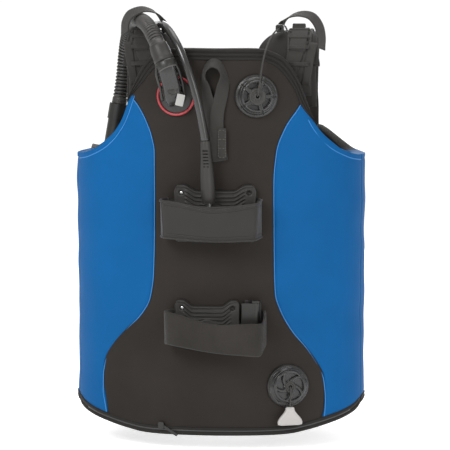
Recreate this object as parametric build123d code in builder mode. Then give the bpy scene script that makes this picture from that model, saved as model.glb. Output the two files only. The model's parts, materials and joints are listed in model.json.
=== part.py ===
from build123d import *
import os
from math import asin, atan2, cos, pi, radians, sin, sqrt, tan

# Buoyancy compensator vest, in millimetres.
# +Z is up, the tank side faces -Y and the wearer faces +Y, so the wearer's left is -X.
# The origin is on the axis of the wearer's torso, at the height of the hem.

# ---- driving dimensions: the jacket ----
half_width = 210.0
half_depth = 125.0
side_radius = 90.0
skin_thickness = 2.0
cell_thickness = 18.0
binding_width = 11.0
binding_height = 1.5
side_gap = 0.6
armhole_height = 405.0
neck_height = 564.0
outline_corner = 22.0
panel_corner = 12.0
lobe_top = 441.0
lobe_corner = 10.0
front_gap = 46.0
outline_side = 232.0

# ---- driving dimensions: hard parts ----
valve_radius = 30.0
valve_bore = 12.0
bore_clearance = 0.3
seat_gap = 0.3
band_width = 50.0
band_thickness = 2.4
hose_radius = 11.5
hose_cuff_radius = 14.5
lp_hose_radius = 5.75
thread_radius = 4.76
thread_length = 8.0
cord_radius = 1.25
fit_gap = 0.4
pin_clearance = 0.06

# Longer than any part: depth of the cutters that trim the oval walls.
past_everything = 400.0
above_neck = neck_height + 56.0

# ---- derived sizes of the oval cross-section: four tangent arcs ----
side_centre = half_width - side_radius
side_step = half_depth - side_radius
back_radius = side_radius + (side_centre**2 + side_step**2) / (2 * side_step)
back_centre = back_radius - half_depth
tangent_angle = atan2(side_centre, back_centre)

os.makedirs("parts", exist_ok=True)


def save(piece, name):
    """Label a finished piece and write its STEP file."""
    piece.part.label = name
    export_step(piece.part, f"parts/{name}.step")


def oval(inset, mode=Mode.ADD):
    """Closed oval of four tangent arcs, moved inwards by inset."""
    wide = back_radius - inset
    narrow = side_radius - inset
    tangent_x = wide * sin(tangent_angle)
    tangent_y = wide * cos(tangent_angle) - back_centre
    with BuildLine() as edge:
        ThreePointArc((-tangent_x, -tangent_y), (0, inset - half_depth), (tangent_x, -tangent_y))
        ThreePointArc((tangent_x, -tangent_y), (side_centre + narrow, 0), (tangent_x, tangent_y))
        ThreePointArc((tangent_x, tangent_y), (0, half_depth - inset), (-tangent_x, tangent_y))
        ThreePointArc((-tangent_x, tangent_y), (-side_centre - narrow, 0), (-tangent_x, -tangent_y))
    make_face(edge.edges(), mode=mode)


def shell(outer_inset, inner_inset, low, high):
    """Oval wall between two insets, from one height to another, in the current part."""
    with BuildSketch(Plane.XY.offset(low)) as ring:
        oval(outer_inset)
        oval(inner_inset, mode=Mode.SUBTRACT)
    extrude(ring.sketch, amount=high - low)


def outline_points(side=1):
    """Right or left half of the jacket's back outline, from the neck down to the hem."""
    points = [
        (66, neck_height),
        (96, 552),
        (118, 520),
        (140, 458),
        (163, 428),
        (192, 407),
        (outline_side, armhole_height),
        (outline_side, 75),
        (200, 26),
        (160, 12),
        (100, 0),
    ]
    return [(side * x, z) for x, z in points]


def back_outline(inset=0.0, mode=Mode.ADD):
    """Outline of the whole back, with its edge moved inwards by inset."""
    points = outline_points() + outline_points(-1)[::-1]
    with BuildLine() as edge:
        FilletPolyline(*points, radius=outline_corner, close=True)
    face = make_face(edge.edges(), mode=Mode.PRIVATE)
    if inset:
        face = offset(face, amount=-inset, mode=Mode.PRIVATE)
    add(face, mode=mode)


def panel_edge(side):
    """Edge of the black centre panel on one side, from the armhole to the hem."""
    points = [
        (150, 520),
        (125, 487),
        (93, 440),
        (84, 360),
        (84, 240),
        (100, 164),
        (150, 108),
        (161, 60),
        (155, -20),
    ]
    return [(side * x, z) for x, z in points]


def centre_shape(corner):
    """Hourglass of the centre panel, its corners rounded."""
    points = panel_edge(1) + panel_edge(-1)[::-1]
    with BuildLine() as edge:
        FilletPolyline((0, above_neck), *points, radius=corner, close=True)
    make_face(edge.edges())


def surface_y(x, lift=0.0):
    """Y of the jacket's back surface at x, moved outwards by lift."""
    return back_centre - sqrt((back_radius + lift) ** 2 - x**2)


def surface_plane(x, z, lift=0.0, front=False):
    """Plane on the jacket's surface at x and height z: its normal points out, its Y is up."""
    tilt = asin(x / back_radius)
    out = -1 if front else 1
    normal = Vector(sin(tilt), -out * cos(tilt), 0)
    point = Vector(x, out * surface_y(x), z) + normal * lift
    across = Vector(out * cos(tilt), sin(tilt), 0)
    return Plane(origin=point, x_dir=across, z_dir=normal)


def trim(shape, value, mode=Mode.INTERSECT, front=False):
    """Cut the current part with the front-view shape(value), on the back or the front half."""
    out = -1 if front else 1
    with BuildSketch(Plane.XZ.offset(out * side_gap)) as cutter:
        shape(value)
    extrude(cutter.sketch, amount=out * past_everything, mode=mode)


def hollow_edge(inset):
    """Take everything inside the back outline, moved inwards by inset, out of the current part."""
    with BuildSketch(Plane.XZ.offset(-past_everything / 2)) as cutter:
        back_outline(inset)
    extrude(cutter.sketch, amount=past_everything, mode=Mode.SUBTRACT)


def keep_rectangle(width, low, high, corner):
    """Keep only a rounded rectangle, seen from behind, of the back half of the current part."""
    with BuildSketch(Plane.XZ) as keeper:
        with Locations((0, (low + high) / 2)):
            RectangleRounded(width, high - low, corner)
    extrude(keeper.sketch, amount=past_everything, mode=Mode.INTERSECT)


valve_sites = {"shoulder": (58.0, 496.0), "lower": (103.5, 72.0)}
elbow_site = (-57.0, 496.0)
all_sites = list(valve_sites.values()) + [elbow_site]
pierce_depth = 40.0


def pierce(sites):
    """Holes for the valves and the elbow through the current part."""
    for x, z in sites:
        with BuildSketch(surface_plane(x, z, lift=-pierce_depth)) as hole:
            Circle(valve_bore + bore_clearance)
        extrude(hole.sketch, amount=2 * pierce_depth, mode=Mode.SUBTRACT)


# ---- back: air cell, outer panels, binding and hem ----
with BuildPart() as back_air_cell:
    shell(skin_thickness, skin_thickness + cell_thickness, 0, above_neck)
    trim(back_outline, binding_width)
    pierce(all_sites)
save(back_air_cell, "back_air_cell")

with BuildPart() as centre_panel:
    shell(0, skin_thickness, 0, above_neck)
    trim(back_outline, binding_width)
    trim(centre_shape, panel_corner)
    pierce(all_sites)
save(centre_panel, "centre_panel")

for side, side_name in ((-1, "left"), (1, "right")):
    with BuildPart() as back_panel:
        shell(0, skin_thickness, 0, above_neck)
        trim(back_outline, binding_width)
        trim(centre_shape, panel_corner, mode=Mode.SUBTRACT)
        with BuildSketch(Plane.XZ):
            with Locations((side * half_width, above_neck / 2)):
                Rectangle(2 * half_width, 2 * above_neck)
        extrude(amount=past_everything, mode=Mode.INTERSECT)
    save(back_panel, f"{side_name}_back_panel")

binding_overlap = 20.0
with BuildPart() as neck_binding:
    shell(-binding_height, skin_thickness + cell_thickness, armhole_height - binding_overlap, above_neck)
    trim(back_outline, 0)
    hollow_edge(binding_width)
save(neck_binding, "neck_binding")

hem_low = -10.0
hem_high = 120.0
with BuildPart() as hem_band:
    shell(-binding_height, skin_thickness + cell_thickness, hem_low, hem_high)
    trim(back_outline, 0)
    hollow_edge(binding_width)
save(hem_band, "hem_band")

# ---- plate and pad inside the back ----
layer_gap = 0.4
plate_low = 70.0
plate_high = 520.0
plate_width = 172.0
plate_corner = 30.0
plate_inset = skin_thickness + cell_thickness + layer_gap
plate_thickness = 3.0
with BuildPart() as back_plate:
    shell(plate_inset, plate_inset + plate_thickness, plate_low, plate_high)
    keep_rectangle(plate_width, plate_low, plate_high, plate_corner)
save(back_plate, "back_plate")

pad_inset = plate_inset + plate_thickness + layer_gap
pad_thickness = 12.0
pad_low = 60.0
pad_high = 462.0
pad_width = 190.0
pad_corner = 40.0
with BuildPart() as back_pad:
    shell(pad_inset, pad_inset + pad_thickness, pad_low, pad_high)
    keep_rectangle(pad_width, pad_low, pad_high, pad_corner)
save(back_pad, "back_pad")

# ---- ribbed tank pads ----
pad_rib_pitch = 8.0
pad_rib_height = 3.6
pad_rib_bite = 0.5
tank_pad_lift = 4.2
tank_pad_body = 5.0
tank_pad_rib = 2.4
tank_pad_corner = 8.0
ear_inset = 8.0
ear_hole_radius = 2.0
rib_margin = 16.0


def tank_pad(left, right, low, high):
    """Rubber pad on the back with level ribs and a hole in each upper corner."""
    centre = ((left + right) / 2, (low + high) / 2)
    face = tank_pad_lift + tank_pad_body
    with BuildPart() as pad:
        shell(-face, -tank_pad_lift, low, high)
        with BuildSketch(Plane.XZ):
            with Locations(centre):
                RectangleRounded(right - left, high - low, tank_pad_corner)
            with Locations((left + ear_inset, high - ear_inset), (right - ear_inset, high - ear_inset)):
                Circle(ear_hole_radius, mode=Mode.SUBTRACT)
        extrude(amount=past_everything, mode=Mode.INTERSECT)
    rib_span = high - low - 2 * tank_pad_corner - pad_rib_height
    with BuildPart() as ribs:
        for rib in range(int(rib_span / pad_rib_pitch) + 1):
            rib_low = low + tank_pad_corner + rib * pad_rib_pitch
            shell(-face - tank_pad_rib, pad_rib_bite - face, rib_low, rib_low + pad_rib_height)
        with BuildSketch(Plane.XZ):
            with Locations(centre):
                Rectangle(right - left - 2 * rib_margin, high - low)
        extrude(amount=past_everything, mode=Mode.INTERSECT)
    with pad:
        add(ribs.part)
    return pad


save(tank_pad(-60, 58, 284, 368), "upper_tank_pad")
save(tank_pad(-59, 35, 138, 200), "lower_tank_pad")

# ---- tank bands ----
band_reach = 47.0
band_side = 71.0
band_foot = 66.0
band_lift = 1.2
band_corner = 9.0
band_flat = 42.0
sleeve_opening = 44.0
foot_rise = 18.0
back_rise = 13.0


def band_loop(plane, grow, width, closed=True):
    """Webbing loop round the tank's place: grow moves it outwards, and an open one has no inner run."""
    back = -half_depth - band_reach
    foot_y = surface_y(band_foot, band_lift)
    outer_run = [
        (band_foot, foot_y),
        (band_side + 4, foot_y - foot_rise),
        (band_side, back + back_rise - 1),
        (band_flat, back + 1),
        (-band_flat, back),
        (-band_side, back + back_rise),
        (-band_side - 3, foot_y - foot_rise),
        (-band_foot, foot_y),
    ]
    with BuildPart() as loop:
        with BuildSketch(plane):
            with BuildLine():
                FilletPolyline(*outer_run, radius=band_corner)
                ThreePointArc(outer_run[-1], (0, surface_y(0, band_lift)), outer_run[0])
            make_face()
            if grow:
                offset(amount=grow, mode=Mode.REPLACE)
            offset(amount=-band_thickness, mode=Mode.SUBTRACT)
            if not closed:
                with Locations((0, -half_depth)):
                    Rectangle(past_everything, sleeve_opening, mode=Mode.SUBTRACT)
        extrude(amount=width)
    return loop


upper_band_low = 294.0
sleeve_low = 290.0
sleeve_width = 58.0
sleeve_gap = 0.3
lower_band_tilt = radians(8.0)
lower_band_centre = 156.0
save(band_loop(Plane.XY.offset(upper_band_low), 0, band_width), "upper_tank_band")
sleeve = band_loop(Plane.XY.offset(sleeve_low), band_thickness + sleeve_gap, sleeve_width, closed=False)
save(sleeve, "upper_band_sleeve")
lower_normal = Vector(sin(lower_band_tilt), 0, cos(lower_band_tilt))
lower_plane = Plane(
    origin=Vector(0, 0, lower_band_centre) - lower_normal * (band_width / 2),
    x_dir=(cos(lower_band_tilt), 0, -sin(lower_band_tilt)),
    z_dir=lower_normal,
)
save(band_loop(lower_plane, 0, band_width), "lower_tank_band")

# ---- cam buckle of the lower band ----
cam_low = 152.0
cam_high = 200.0
cam_cheek = 3.0
cam_axis = (59.0, -138.0)
cam_pin_radius = 2.4
cam_base_y = -127.6
cam_base_thickness = 2.4
cam_base_left = 42.0
cam_base_right = 66.0
cam_head_y = -142.0
lever_thickness = 3.0
lever_length = 20.0
lever_wall = 2.2
with BuildPart() as cam_frame:
    with BuildSketch(Plane.XY.offset(cam_low)):
        with Locations(((cam_base_left + cam_base_right) / 2, cam_base_y - cam_base_thickness / 2)):
            Rectangle(cam_base_right - cam_base_left, cam_base_thickness)
    extrude(amount=cam_high - cam_low)
    cheek_foot = (cam_base_left + 4, cam_base_y)
    cheek_points = [cheek_foot, (cam_base_right, cam_base_y), (64, cam_head_y), (54, cam_head_y), cheek_foot]
    for cheek_low in (cam_low, cam_high - cam_cheek):
        with BuildSketch(Plane.XY.offset(cheek_low)):
            with BuildLine():
                Polyline(*cheek_points)
            make_face()
        extrude(amount=cam_cheek)
    with BuildSketch(Plane.XY.offset(cam_low)):
        with Locations(cam_axis):
            Circle(cam_pin_radius)
    extrude(amount=cam_high - cam_low)
save(cam_frame, "cam_frame")

lever_centre = (cam_axis[0] - lever_length / 2 - 1, cam_axis[1] - 2.6)
with BuildPart() as cam_lever:
    with BuildSketch(Plane.XY.offset(cam_low + cam_cheek + fit_gap)):
        with Locations(cam_axis):
            Circle(cam_pin_radius + lever_wall)
        with Locations(lever_centre):
            RectangleRounded(lever_length, lever_thickness, 1.2)
        with Locations(cam_axis):
            Circle(cam_pin_radius + pin_clearance, mode=Mode.SUBTRACT)
    extrude(amount=cam_high - cam_low - 2 * cam_cheek - 2 * fit_gap)
save(cam_lever, "cam_lever")

# ---- valve strap ----
strap_width = 15.0
strap_thickness = 3.0
strap_bend = 9.0
strap_route = [(-14, 404), (-17, 520), (-8, 543), (6, 543), (13, 522), (10, 404)]
with BuildPart() as valve_strap:
    with BuildSketch(Plane.XZ.offset(half_depth + strap_thickness)):
        with BuildLine():
            FilletPolyline(*strap_route, radius=strap_bend)
        trace(line_width=strap_width)
    extrude(amount=strap_thickness)
save(valve_strap, "valve_strap")

# ---- dump valves: heights are above the jacket's surface ----
neck_depth = 9.0
neck_bore = 8.0
base_top = 6.0
chamber_floor = 2.5
chamber_radius = 13.0
cap_low = 6.2
cap_radius = 27.0
cap_step = 10.5
cap_step_radius = 20.0
cap_top = 13.6
cap_chamber_radius = 12.5
cap_chamber_top = 12.6
hub_radius = 11.0
hub_top = 16.0
hub_hole_radius = 6.8
window_ring = 15.6
window_count = 5
poppet_radius = 10.5
poppet_low = 2.9
poppet_thickness = 1.8
stem_radius = 2.5
stem_depth = 5.0
spring_low = 5.3
spring_height = 6.6
spring_pitch = 2.2
spring_radius = 8.2
spring_wire = 0.45


def disc(plane, low, high, radius, mode=Mode.ADD):
    """Round slab between two heights over a plane, in the current part."""
    with BuildSketch(plane.offset(low)) as circle:
        Circle(radius)
    extrude(circle.sketch, amount=high - low, mode=mode)


def valve(name, site):
    """Body, screwed cap, spring and poppet of one dump valve."""
    seat = surface_plane(*site)
    with BuildPart() as base:
        disc(seat, -neck_depth, seat_gap + 0.1, valve_bore)
        disc(seat, seat_gap, base_top, valve_radius)
        disc(seat, chamber_floor, hub_top, chamber_radius, mode=Mode.SUBTRACT)
        disc(seat, -neck_depth, hub_top, neck_bore, mode=Mode.SUBTRACT)
    save(base, f"{name}_valve_base")
    with BuildPart() as cap:
        disc(seat, cap_low, cap_step, cap_radius)
        disc(seat, cap_step - 0.1, cap_top, cap_step_radius)
        disc(seat, cap_top - 0.1, hub_top, hub_radius)
        disc(seat, cap_low, cap_chamber_top, cap_chamber_radius, mode=Mode.SUBTRACT)
        with BuildSketch(seat.offset(cap_step - 0.5)):
            Circle(hub_hole_radius)
            with PolarLocations(window_ring, window_count, start_angle=18):
                SlotOverall(8, 4.4, rotation=90)
        extrude(amount=hub_top, mode=Mode.SUBTRACT)
    save(cap, f"{name}_valve_cap")
    with BuildPart() as poppet:
        disc(seat, poppet_low, poppet_low + poppet_thickness, poppet_radius)
        disc(seat, -stem_depth, poppet_low + 0.1, stem_radius)
    save(poppet, f"{name}_valve_poppet")
    with BuildPart() as spring:
        foot = seat.offset(spring_low).origin
        with BuildLine():
            coil = Helix(spring_pitch, spring_height, spring_radius, center=foot, direction=seat.z_dir)
        with BuildSketch(Plane(origin=coil @ 0, z_dir=coil % 0)):
            Circle(spring_wire)
        sweep()
    save(spring, f"{name}_valve_spring")


for valve_name, valve_site in valve_sites.items():
    valve(valve_name, valve_site)

# ---- elbow of the corrugated hose ----
elbow_seat = surface_plane(*elbow_site)
elbow_flange_radius = 28.0
elbow_ring_bore = 22.5
elbow_ring_height = 2.0
elbow_collar_radius = 20.0
elbow_collar_height = 4.0
elbow_radius = 13.5
elbow_rise = 25.0
elbow_bend = 16.0
elbow_top = Vector(-70, -147, 541)
with BuildPart() as elbow_flange:
    disc(elbow_seat, -neck_depth, seat_gap + 0.1, valve_bore)
    disc(elbow_seat, seat_gap, base_top, elbow_flange_radius)
    disc(elbow_seat, -neck_depth, base_top, neck_bore, mode=Mode.SUBTRACT)
save(elbow_flange, "elbow_flange")

with BuildPart() as elbow_ring:
    disc(elbow_seat, cap_low, cap_low + elbow_ring_height, cap_radius)
    disc(elbow_seat, cap_low, cap_low + elbow_ring_height, elbow_ring_bore, mode=Mode.SUBTRACT)
save(elbow_ring, "elbow_ring")

with BuildPart() as elbow_body:
    elbow_foot = elbow_seat.offset(cap_low)
    with BuildLine():
        FilletPolyline(elbow_foot.origin, elbow_seat.offset(elbow_rise).origin, elbow_top, radius=elbow_bend)
    with BuildSketch(elbow_foot):
        Circle(elbow_radius)
    sweep()
    disc(elbow_foot, 0, elbow_collar_height, elbow_collar_radius)
save(elbow_body, "elbow_body")


# ---- hoses and cords: straight runs joined by tangent arcs ----
corner_share = 0.45


def route_radii(points):
    """Arc at each corner of a route that takes up the same share of the shorter run beside it."""
    radii = []
    for before, corner, after in zip(points, points[1:], points[2:]):
        first = Vector(*corner) - Vector(*before)
        second = Vector(*after) - Vector(*corner)
        turn = radians(first.get_angle(second))
        radii.append(corner_share * min(first.length, second.length) / tan(turn / 2))
    return radii


def tube(name, points, radius):
    """Round tube along a route, its radii and lengths printed."""
    radii = route_radii(points)
    with BuildPart() as cord:
        with BuildLine():
            path = FilletPolyline(*points, radius=radii)
        with BuildSketch(Plane(origin=path @ 0, z_dir=path % 0)):
            Circle(radius)
        sweep()
    expected = path.length * pi * radius**2
    print(name, "radii", [round(r) for r in radii], "length", round(path.length, 1))
    print(name, "volume over section times length", round(cord.part.volume / expected, 4))
    save(cord, name)


corrugated_route = [
    (-81, -140, 566),
    (-89.5, -126, 582),
    (-99.5, -100, 595),
    (-110.5, -65, 601),
    (-120, -25, 601.5),
    (-129, 14, 601),
    (-139, 50, 594),
    (-148, 78, 573),
    (-154, 95, 542),
    (-158, 102, 505),
    (-164, 102, 470),
]
tube("corrugated_hose", corrugated_route, hose_radius)

lp_route = [
    (-137.9, 106, 456.1),
    (-133.5, 108, 486),
    (-129, 109, 519),
    (-120, 99, 554),
    (-109, 72, 582),
    (-100, 34, 593),
    (-94, -8, 594),
    (-88, -50, 596),
    (-79, -90, 598),
    (-67, -122, 590),
    (-52, -142, 568),
    (-38, -151, 535),
    (-27, -153, 500),
    (-19, -152, 465),
    (-14, -150, 432),
]
tube("lp_hose", lp_route, lp_hose_radius)

shoulder_cord_route = [
    (60.2, -131, 496),
    (61.5, -138, 499),
    (63.5, -141, 510),
    (66, -138, 532),
    (70, -129, 557),
    (75.5, -113, 575),
    (81.5, -93, 586),
    (86.5, -74, 590.2),
    (90.5, -46, 592.2),
    (92, -12, 592.7),
    (93, 22, 591),
    (95, 50, 581),
    (97, 76, 563),
    (98.2, 94, 546),
    (98.6, 103.3, 531),
    (98.6, 103.5, 516),
]
tube("shoulder_pull_cord", shoulder_cord_route, cord_radius)

lower_cord_route = [
    (107.2, -118.3, 72.5),
    (108.9, -123.6, 71.5),
    (109.4, -125.8, 66),
    (108.9, -124.2, 56),
    (108, -122, 44),
    (107.8, -121.6, 36),
]
tube("lower_pull_cord", lower_cord_route, cord_radius)


def straight_between(start, end):
    """Plane at start, looking along the line to end, and the line's length."""
    along = Vector(end) - Vector(start)
    return Plane(origin=Vector(start), z_dir=along.normalized()), along.length


cuff_band_low = 2.0
cuff_band_height = 6.0
cuff_plane, cuff_length = straight_between(elbow_top, corrugated_route[0])
with BuildPart() as upper_hose_cuff:
    disc(cuff_plane, 0, cuff_length, hose_cuff_radius)
    disc(cuff_plane, cuff_band_low, cuff_band_low + cuff_band_height, hose_cuff_radius + 1)
save(upper_hose_cuff, "upper_hose_cuff")

# ---- boot and threaded fitting of the low-pressure hose ----
boot_wall = 1.4
boot_foot_radius = 9.6
boot_foot = (-9.5, -149, 353)
boot_plane, boot_length = straight_between(lp_route[-1], boot_foot)
with BuildPart() as lp_hose_boot:
    with BuildSketch(boot_plane):
        Circle(lp_hose_radius + boot_wall)
    with BuildSketch(boot_plane.offset(boot_length)):
        Circle(boot_foot_radius)
    loft()
save(lp_hose_boot, "lp_hose_boot")

hex_length = 9.0
hex_radius = 8.0
hex_end = boot_length + hex_length
with BuildPart() as lp_fitting:
    with BuildSketch(boot_plane.offset(boot_length)):
        RegularPolygon(hex_radius, 6)
    extrude(amount=hex_length)
    disc(boot_plane, hex_end, hex_end + thread_length, thread_radius)
save(lp_fitting, "lp_fitting")
thread_middle = boot_plane.offset(hex_end + thread_length / 2)
print("lp thread middle", thread_middle.origin, "axis", thread_middle.z_dir)

# ---- shoulders: pads and straps are seen from the side, in (y, z) ----
shoulder_profile = [(-64, 472), (-74, 545), (-52, 579), (28, 579), (74, 545), (90, 496)]
shoulder_bend = 18.0
shoulder_pad_thickness = 12.0
webbing_profile = [(90.5, 494), (92, 470), (93, 443.5)]
webbing_thickness = 3.0
webbing_width = 38.0
webbing_lows = (-127.0, 90.0)
for side_name, pad_left, pad_right in (("left", -135, -78), ("right", 80, 143)):
    with BuildPart() as shoulder_pad:
        with BuildSketch(Plane.YZ.offset(pad_left)):
            with BuildLine():
                FilletPolyline(*shoulder_profile, radius=shoulder_bend)
            trace(line_width=shoulder_pad_thickness)
        extrude(amount=pad_right - pad_left)
    save(shoulder_pad, f"{side_name}_shoulder_pad")

with BuildPart() as shoulder_webbing:
    for low_x in webbing_lows:
        with BuildSketch(Plane.YZ.offset(low_x)):
            with BuildLine():
                Polyline(*webbing_profile)
            trace(line_width=webbing_thickness)
        extrude(amount=webbing_width)
save(shoulder_webbing, "shoulder_webbing")

loop_width = 25.0
loop_thickness = 2.0
loop_bend = 8.0
loop_back = -32.5
loop_routes = {
    "left": [(-142, 586), (-142, 605), (-131, 617), (-96, 616), (-74, 602), (-71, 586)],
    "right": [(84, 586), (92, 604), (112, 612), (130, 611), (146, 597), (147.5, 560)],
}
for side_name, loop_route in loop_routes.items():
    with BuildPart() as hose_loop:
        with BuildSketch(Plane.XZ.offset(-loop_back - loop_width)):
            with BuildLine():
                FilletPolyline(*loop_route, radius=loop_bend)
            trace(line_width=loop_thickness)
        extrude(amount=loop_width)
    save(hose_loop, f"{side_name}_hose_loop")

keeper_site = (88.8, 591.3)
keeper_width = 12.0
keeper_height = 11.0
keeper_rear = 52.0
keeper_gap = 1.6
ladder_margin = 2.0
ladder_height = 26.0
ladder_centre = 476.0
ladder_depth = 5.0
ladder_front = 99.3
with BuildPart() as strap_keepers:
    with BuildSketch(Plane.XZ.offset(keeper_rear)):
        with Locations(keeper_site):
            RectangleRounded(keeper_width, keeper_height, 3)
            Circle(cord_radius + keeper_gap, mode=Mode.SUBTRACT)
    extrude(amount=keeper_width)
    for low_x in webbing_lows:
        with BuildSketch(Plane.XZ.offset(-ladder_front)):
            with Locations((low_x + webbing_width / 2, ladder_centre)):
                RectangleRounded(webbing_width + 2 * ladder_margin, ladder_height, 4)
        extrude(amount=ladder_depth)
save(strap_keepers, "strap_keepers")

# ---- pull knobs ----
knob_top_width = 13.0
knob_bottom_width = 37.0
knob_height = 27.0
knob_thickness = 8.0
knob_corner = 3.5
knob_edge = 2.0
knob_bore_gap = 0.6
knob_bore_depth = 14.0


def knob(top, turn):
    """Flared knob that hangs on a cord, its top edge at the given point, turned about the cord."""
    face = Plane(origin=Vector(*top), x_dir=(cos(turn), sin(turn), 0), z_dir=(sin(turn), -cos(turn), 0))
    top_half = knob_top_width / 2
    bottom_half = knob_bottom_width / 2
    corners = [(-top_half, 0), (top_half, 0), (bottom_half, -knob_height), (-bottom_half, -knob_height)]
    with BuildPart() as grip:
        with BuildSketch(face.offset(-knob_thickness / 2)):
            with BuildLine():
                FilletPolyline(*corners, radius=knob_corner, close=True)
            make_face()
        extrude(amount=knob_thickness)
        fillet(grip.edges().filter_by(GeomType.LINE), radius=knob_edge)
        with BuildSketch(Plane.XY.offset(top[2] - knob_bore_depth)):
            with Locations((top[0], top[1])):
                Circle(cord_radius + knob_bore_gap)
        extrude(amount=2 * knob_bore_depth, mode=Mode.SUBTRACT)
    return grip


shoulder_knob_top = (98.6, 103.5, 527)
lower_knob_top = (107.8, -121.6, 42.5)
save(knob(shoulder_knob_top, 0), "shoulder_pull_knob")
save(knob(lower_knob_top, asin(valve_sites["lower"][0] / back_radius)), "lower_pull_knob")

# ---- hem zip slider: turns about the back arc's centre, so it follows the hem ----
slider_height = 4.0
slider_low = 0.5
pull_low = 1.5
zip_plane = surface_plane(-80, 12.5, lift=binding_height + slider_low)
with BuildPart() as hem_zip_slider:
    with BuildSketch(zip_plane):
        RectangleRounded(9, 11, 3)
    extrude(amount=slider_height)
    with BuildSketch(zip_plane.offset(pull_low)):
        with Locations((14, -7)):
            SlotOverall(26, 4, rotation=-30)
    extrude(amount=pull_low)
save(hem_zip_slider, "hem_zip_slider")


# ---- front lobes ----
def lobe_outline(side):
    """Front-view outline of one lobe."""
    points = [
        (front_gap, 70),
        (front_gap, 330),
        (60, 405),
        (84, lobe_top),
        (140, lobe_top),
        (163, 428),
        (192, 407),
        (outline_side, armhole_height),
        (outline_side, 75),
        (200, 26),
        (160, 12),
        (110, 6),
        (66, 20),
    ]
    with BuildLine() as edge:
        FilletPolyline(*[(side * x, z) for x, z in points], radius=lobe_corner, close=True)
    make_face(edge.edges())


def front_patch(side, left, right, low, high, corner):
    """Keep only a rounded rectangle on one lobe, seen from the front, of the current part."""
    with BuildSketch(Plane.XZ.offset(-side_gap)) as patch:
        with Locations((side * (left + right) / 2, (low + high) / 2)):
            RectangleRounded(right - left, high - low, corner)
    extrude(patch.sketch, amount=-past_everything, mode=Mode.INTERSECT)


lobe_height = 460.0
pocket_depth = 16.0
pocket_corner = 18.0
waist_strap_left = 31.0
waist_strap_right = 118.0
waist_strap_lift = 2.8
strap_low = 46.0
strap_high = 96.0
strap_middle = (strap_low + strap_high) / 2
ring_site = (76.0, 372.0)
ring_wire = 2.0
ring_corner = 4.0
ring_outline = [(-17, 0), (17, 0), (16, -16), (7, -25), (-7, -25), (-16, -16)]
tab_wall = 1.6
tab_width = 18.0
for side, side_name in ((-1, "left"), (1, "right")):
    with BuildPart() as lobe_cell:
        shell(skin_thickness, skin_thickness + cell_thickness, 0, lobe_height)
        trim(lobe_outline, side, front=True)
    save(lobe_cell, f"{side_name}_lobe_cell")
    with BuildPart() as lobe_panel:
        shell(0, skin_thickness, 0, lobe_height)
        trim(lobe_outline, side, front=True)
    save(lobe_panel, f"{side_name}_lobe_panel")
    with BuildPart() as pocket:
        shell(-pocket_depth, -layer_gap, 0, lobe_height)
        front_patch(side, 72, 172, 118, 262, pocket_corner)
    save(pocket, f"{side_name}_pocket")

    ring_lift = ring_wire + tab_wall + layer_gap
    ring_plane = surface_plane(side * ring_site[0], ring_site[1], lift=ring_lift, front=True)
    tab_plane = Plane(origin=ring_plane.origin - ring_plane.x_dir * (tab_width / 2), z_dir=ring_plane.x_dir)
    with BuildPart() as lobe_webbing:
        shell(-waist_strap_lift, -layer_gap, 0, lobe_height)
        front_patch(side, waist_strap_left, waist_strap_right, strap_low, strap_high, 2)
        with BuildSketch(tab_plane):
            Circle(ring_wire + tab_wall)
            Circle(ring_wire + pin_clearance, mode=Mode.SUBTRACT)
        extrude(amount=tab_width)
    save(lobe_webbing, f"{side_name}_lobe_webbing")
    with BuildPart() as d_ring:
        with BuildLine(ring_plane):
            FilletPolyline(*ring_outline, radius=ring_corner, close=True)
        with BuildSketch(Plane(origin=ring_plane.origin, z_dir=ring_plane.x_dir)):
            Circle(ring_wire)
        sweep()
    save(d_ring, f"{side_name}_d_ring")

# ---- waist buckle, open: the socket is on the left lobe, the plug on the right ----
buckle_gap = 1.5
buckle_back = 121.0
buckle_depth = 11.0
buckle_height = 54.0
socket_end = 30.0
slot_start = -18.0
slot_depth = 6.0
slot_height = 44.0
plug_thickness = 6.0
plug_front = 8.5
plug_head = (18.0, 30.0)
prong_end = 20.0
prong_height = 5.0
with BuildPart() as waist_socket:
    with BuildSketch(Plane.XZ.offset(-buckle_back - buckle_depth)):
        with Locations((-(buckle_gap + socket_end) / 2, strap_middle)):
            RectangleRounded(socket_end - buckle_gap, buckle_height, 4)
    extrude(amount=buckle_depth)
    with BuildSketch(Plane.YZ.offset(slot_start)):
        with Locations((buckle_back + buckle_depth / 2, strap_middle)):
            Rectangle(slot_depth, slot_height)
    extrude(amount=socket_end, mode=Mode.SUBTRACT)
save(waist_socket, "waist_buckle_socket")

with BuildPart() as waist_plug:
    with BuildSketch(Plane.XZ.offset(-buckle_back - plug_front)):
        with Locations(((plug_head[0] + plug_head[1]) / 2, strap_middle)):
            RectangleRounded(plug_head[1] - plug_head[0], buckle_height, 3)
        for prong in (-17, 0, 17):
            with Locations(((buckle_gap + prong_end) / 2, strap_middle + prong)):
                Rectangle(prong_end - buckle_gap, prong_height)
    extrude(amount=plug_thickness)
save(waist_plug, "waist_buckle_plug")

# ---- inflator on the end of the corrugated hose: distances run down its axis from its top ----
inflator_axis = (-0.169, 0, -0.9856)
inflator_plane = Plane(origin=(-168, 102, 446), x_dir=(0, 1, 0), z_dir=inflator_axis)
inflator_radius = 13.0
inflator_length = 66.0
end_cuff_length = 24.0
nipple_spot = (4, 28)
nipple_radius = 5.0
nipple_top = -14.5
nipple_length = 24.0
bridge_low = 8.0
bridge_height = 15.0
button_radius = 6.0
button_place = 34.0
button_foot = 4.0
button_length = 13.0
deflate_radius = 8.0
deflate_foot = inflator_length - 5.0
deflate_length = 10.0
deflate_pocket = inflator_length - 9.0
mouth_place = 52.0
mouth_radius = 9.0
mouth_length = 9.0
mouth_lip = 14.0
mouth_lip_depth = 8.0
collar_radius = 9.5
collar_bore = 6.9
collar_top = -24.0
collar_length = 27.0

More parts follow.
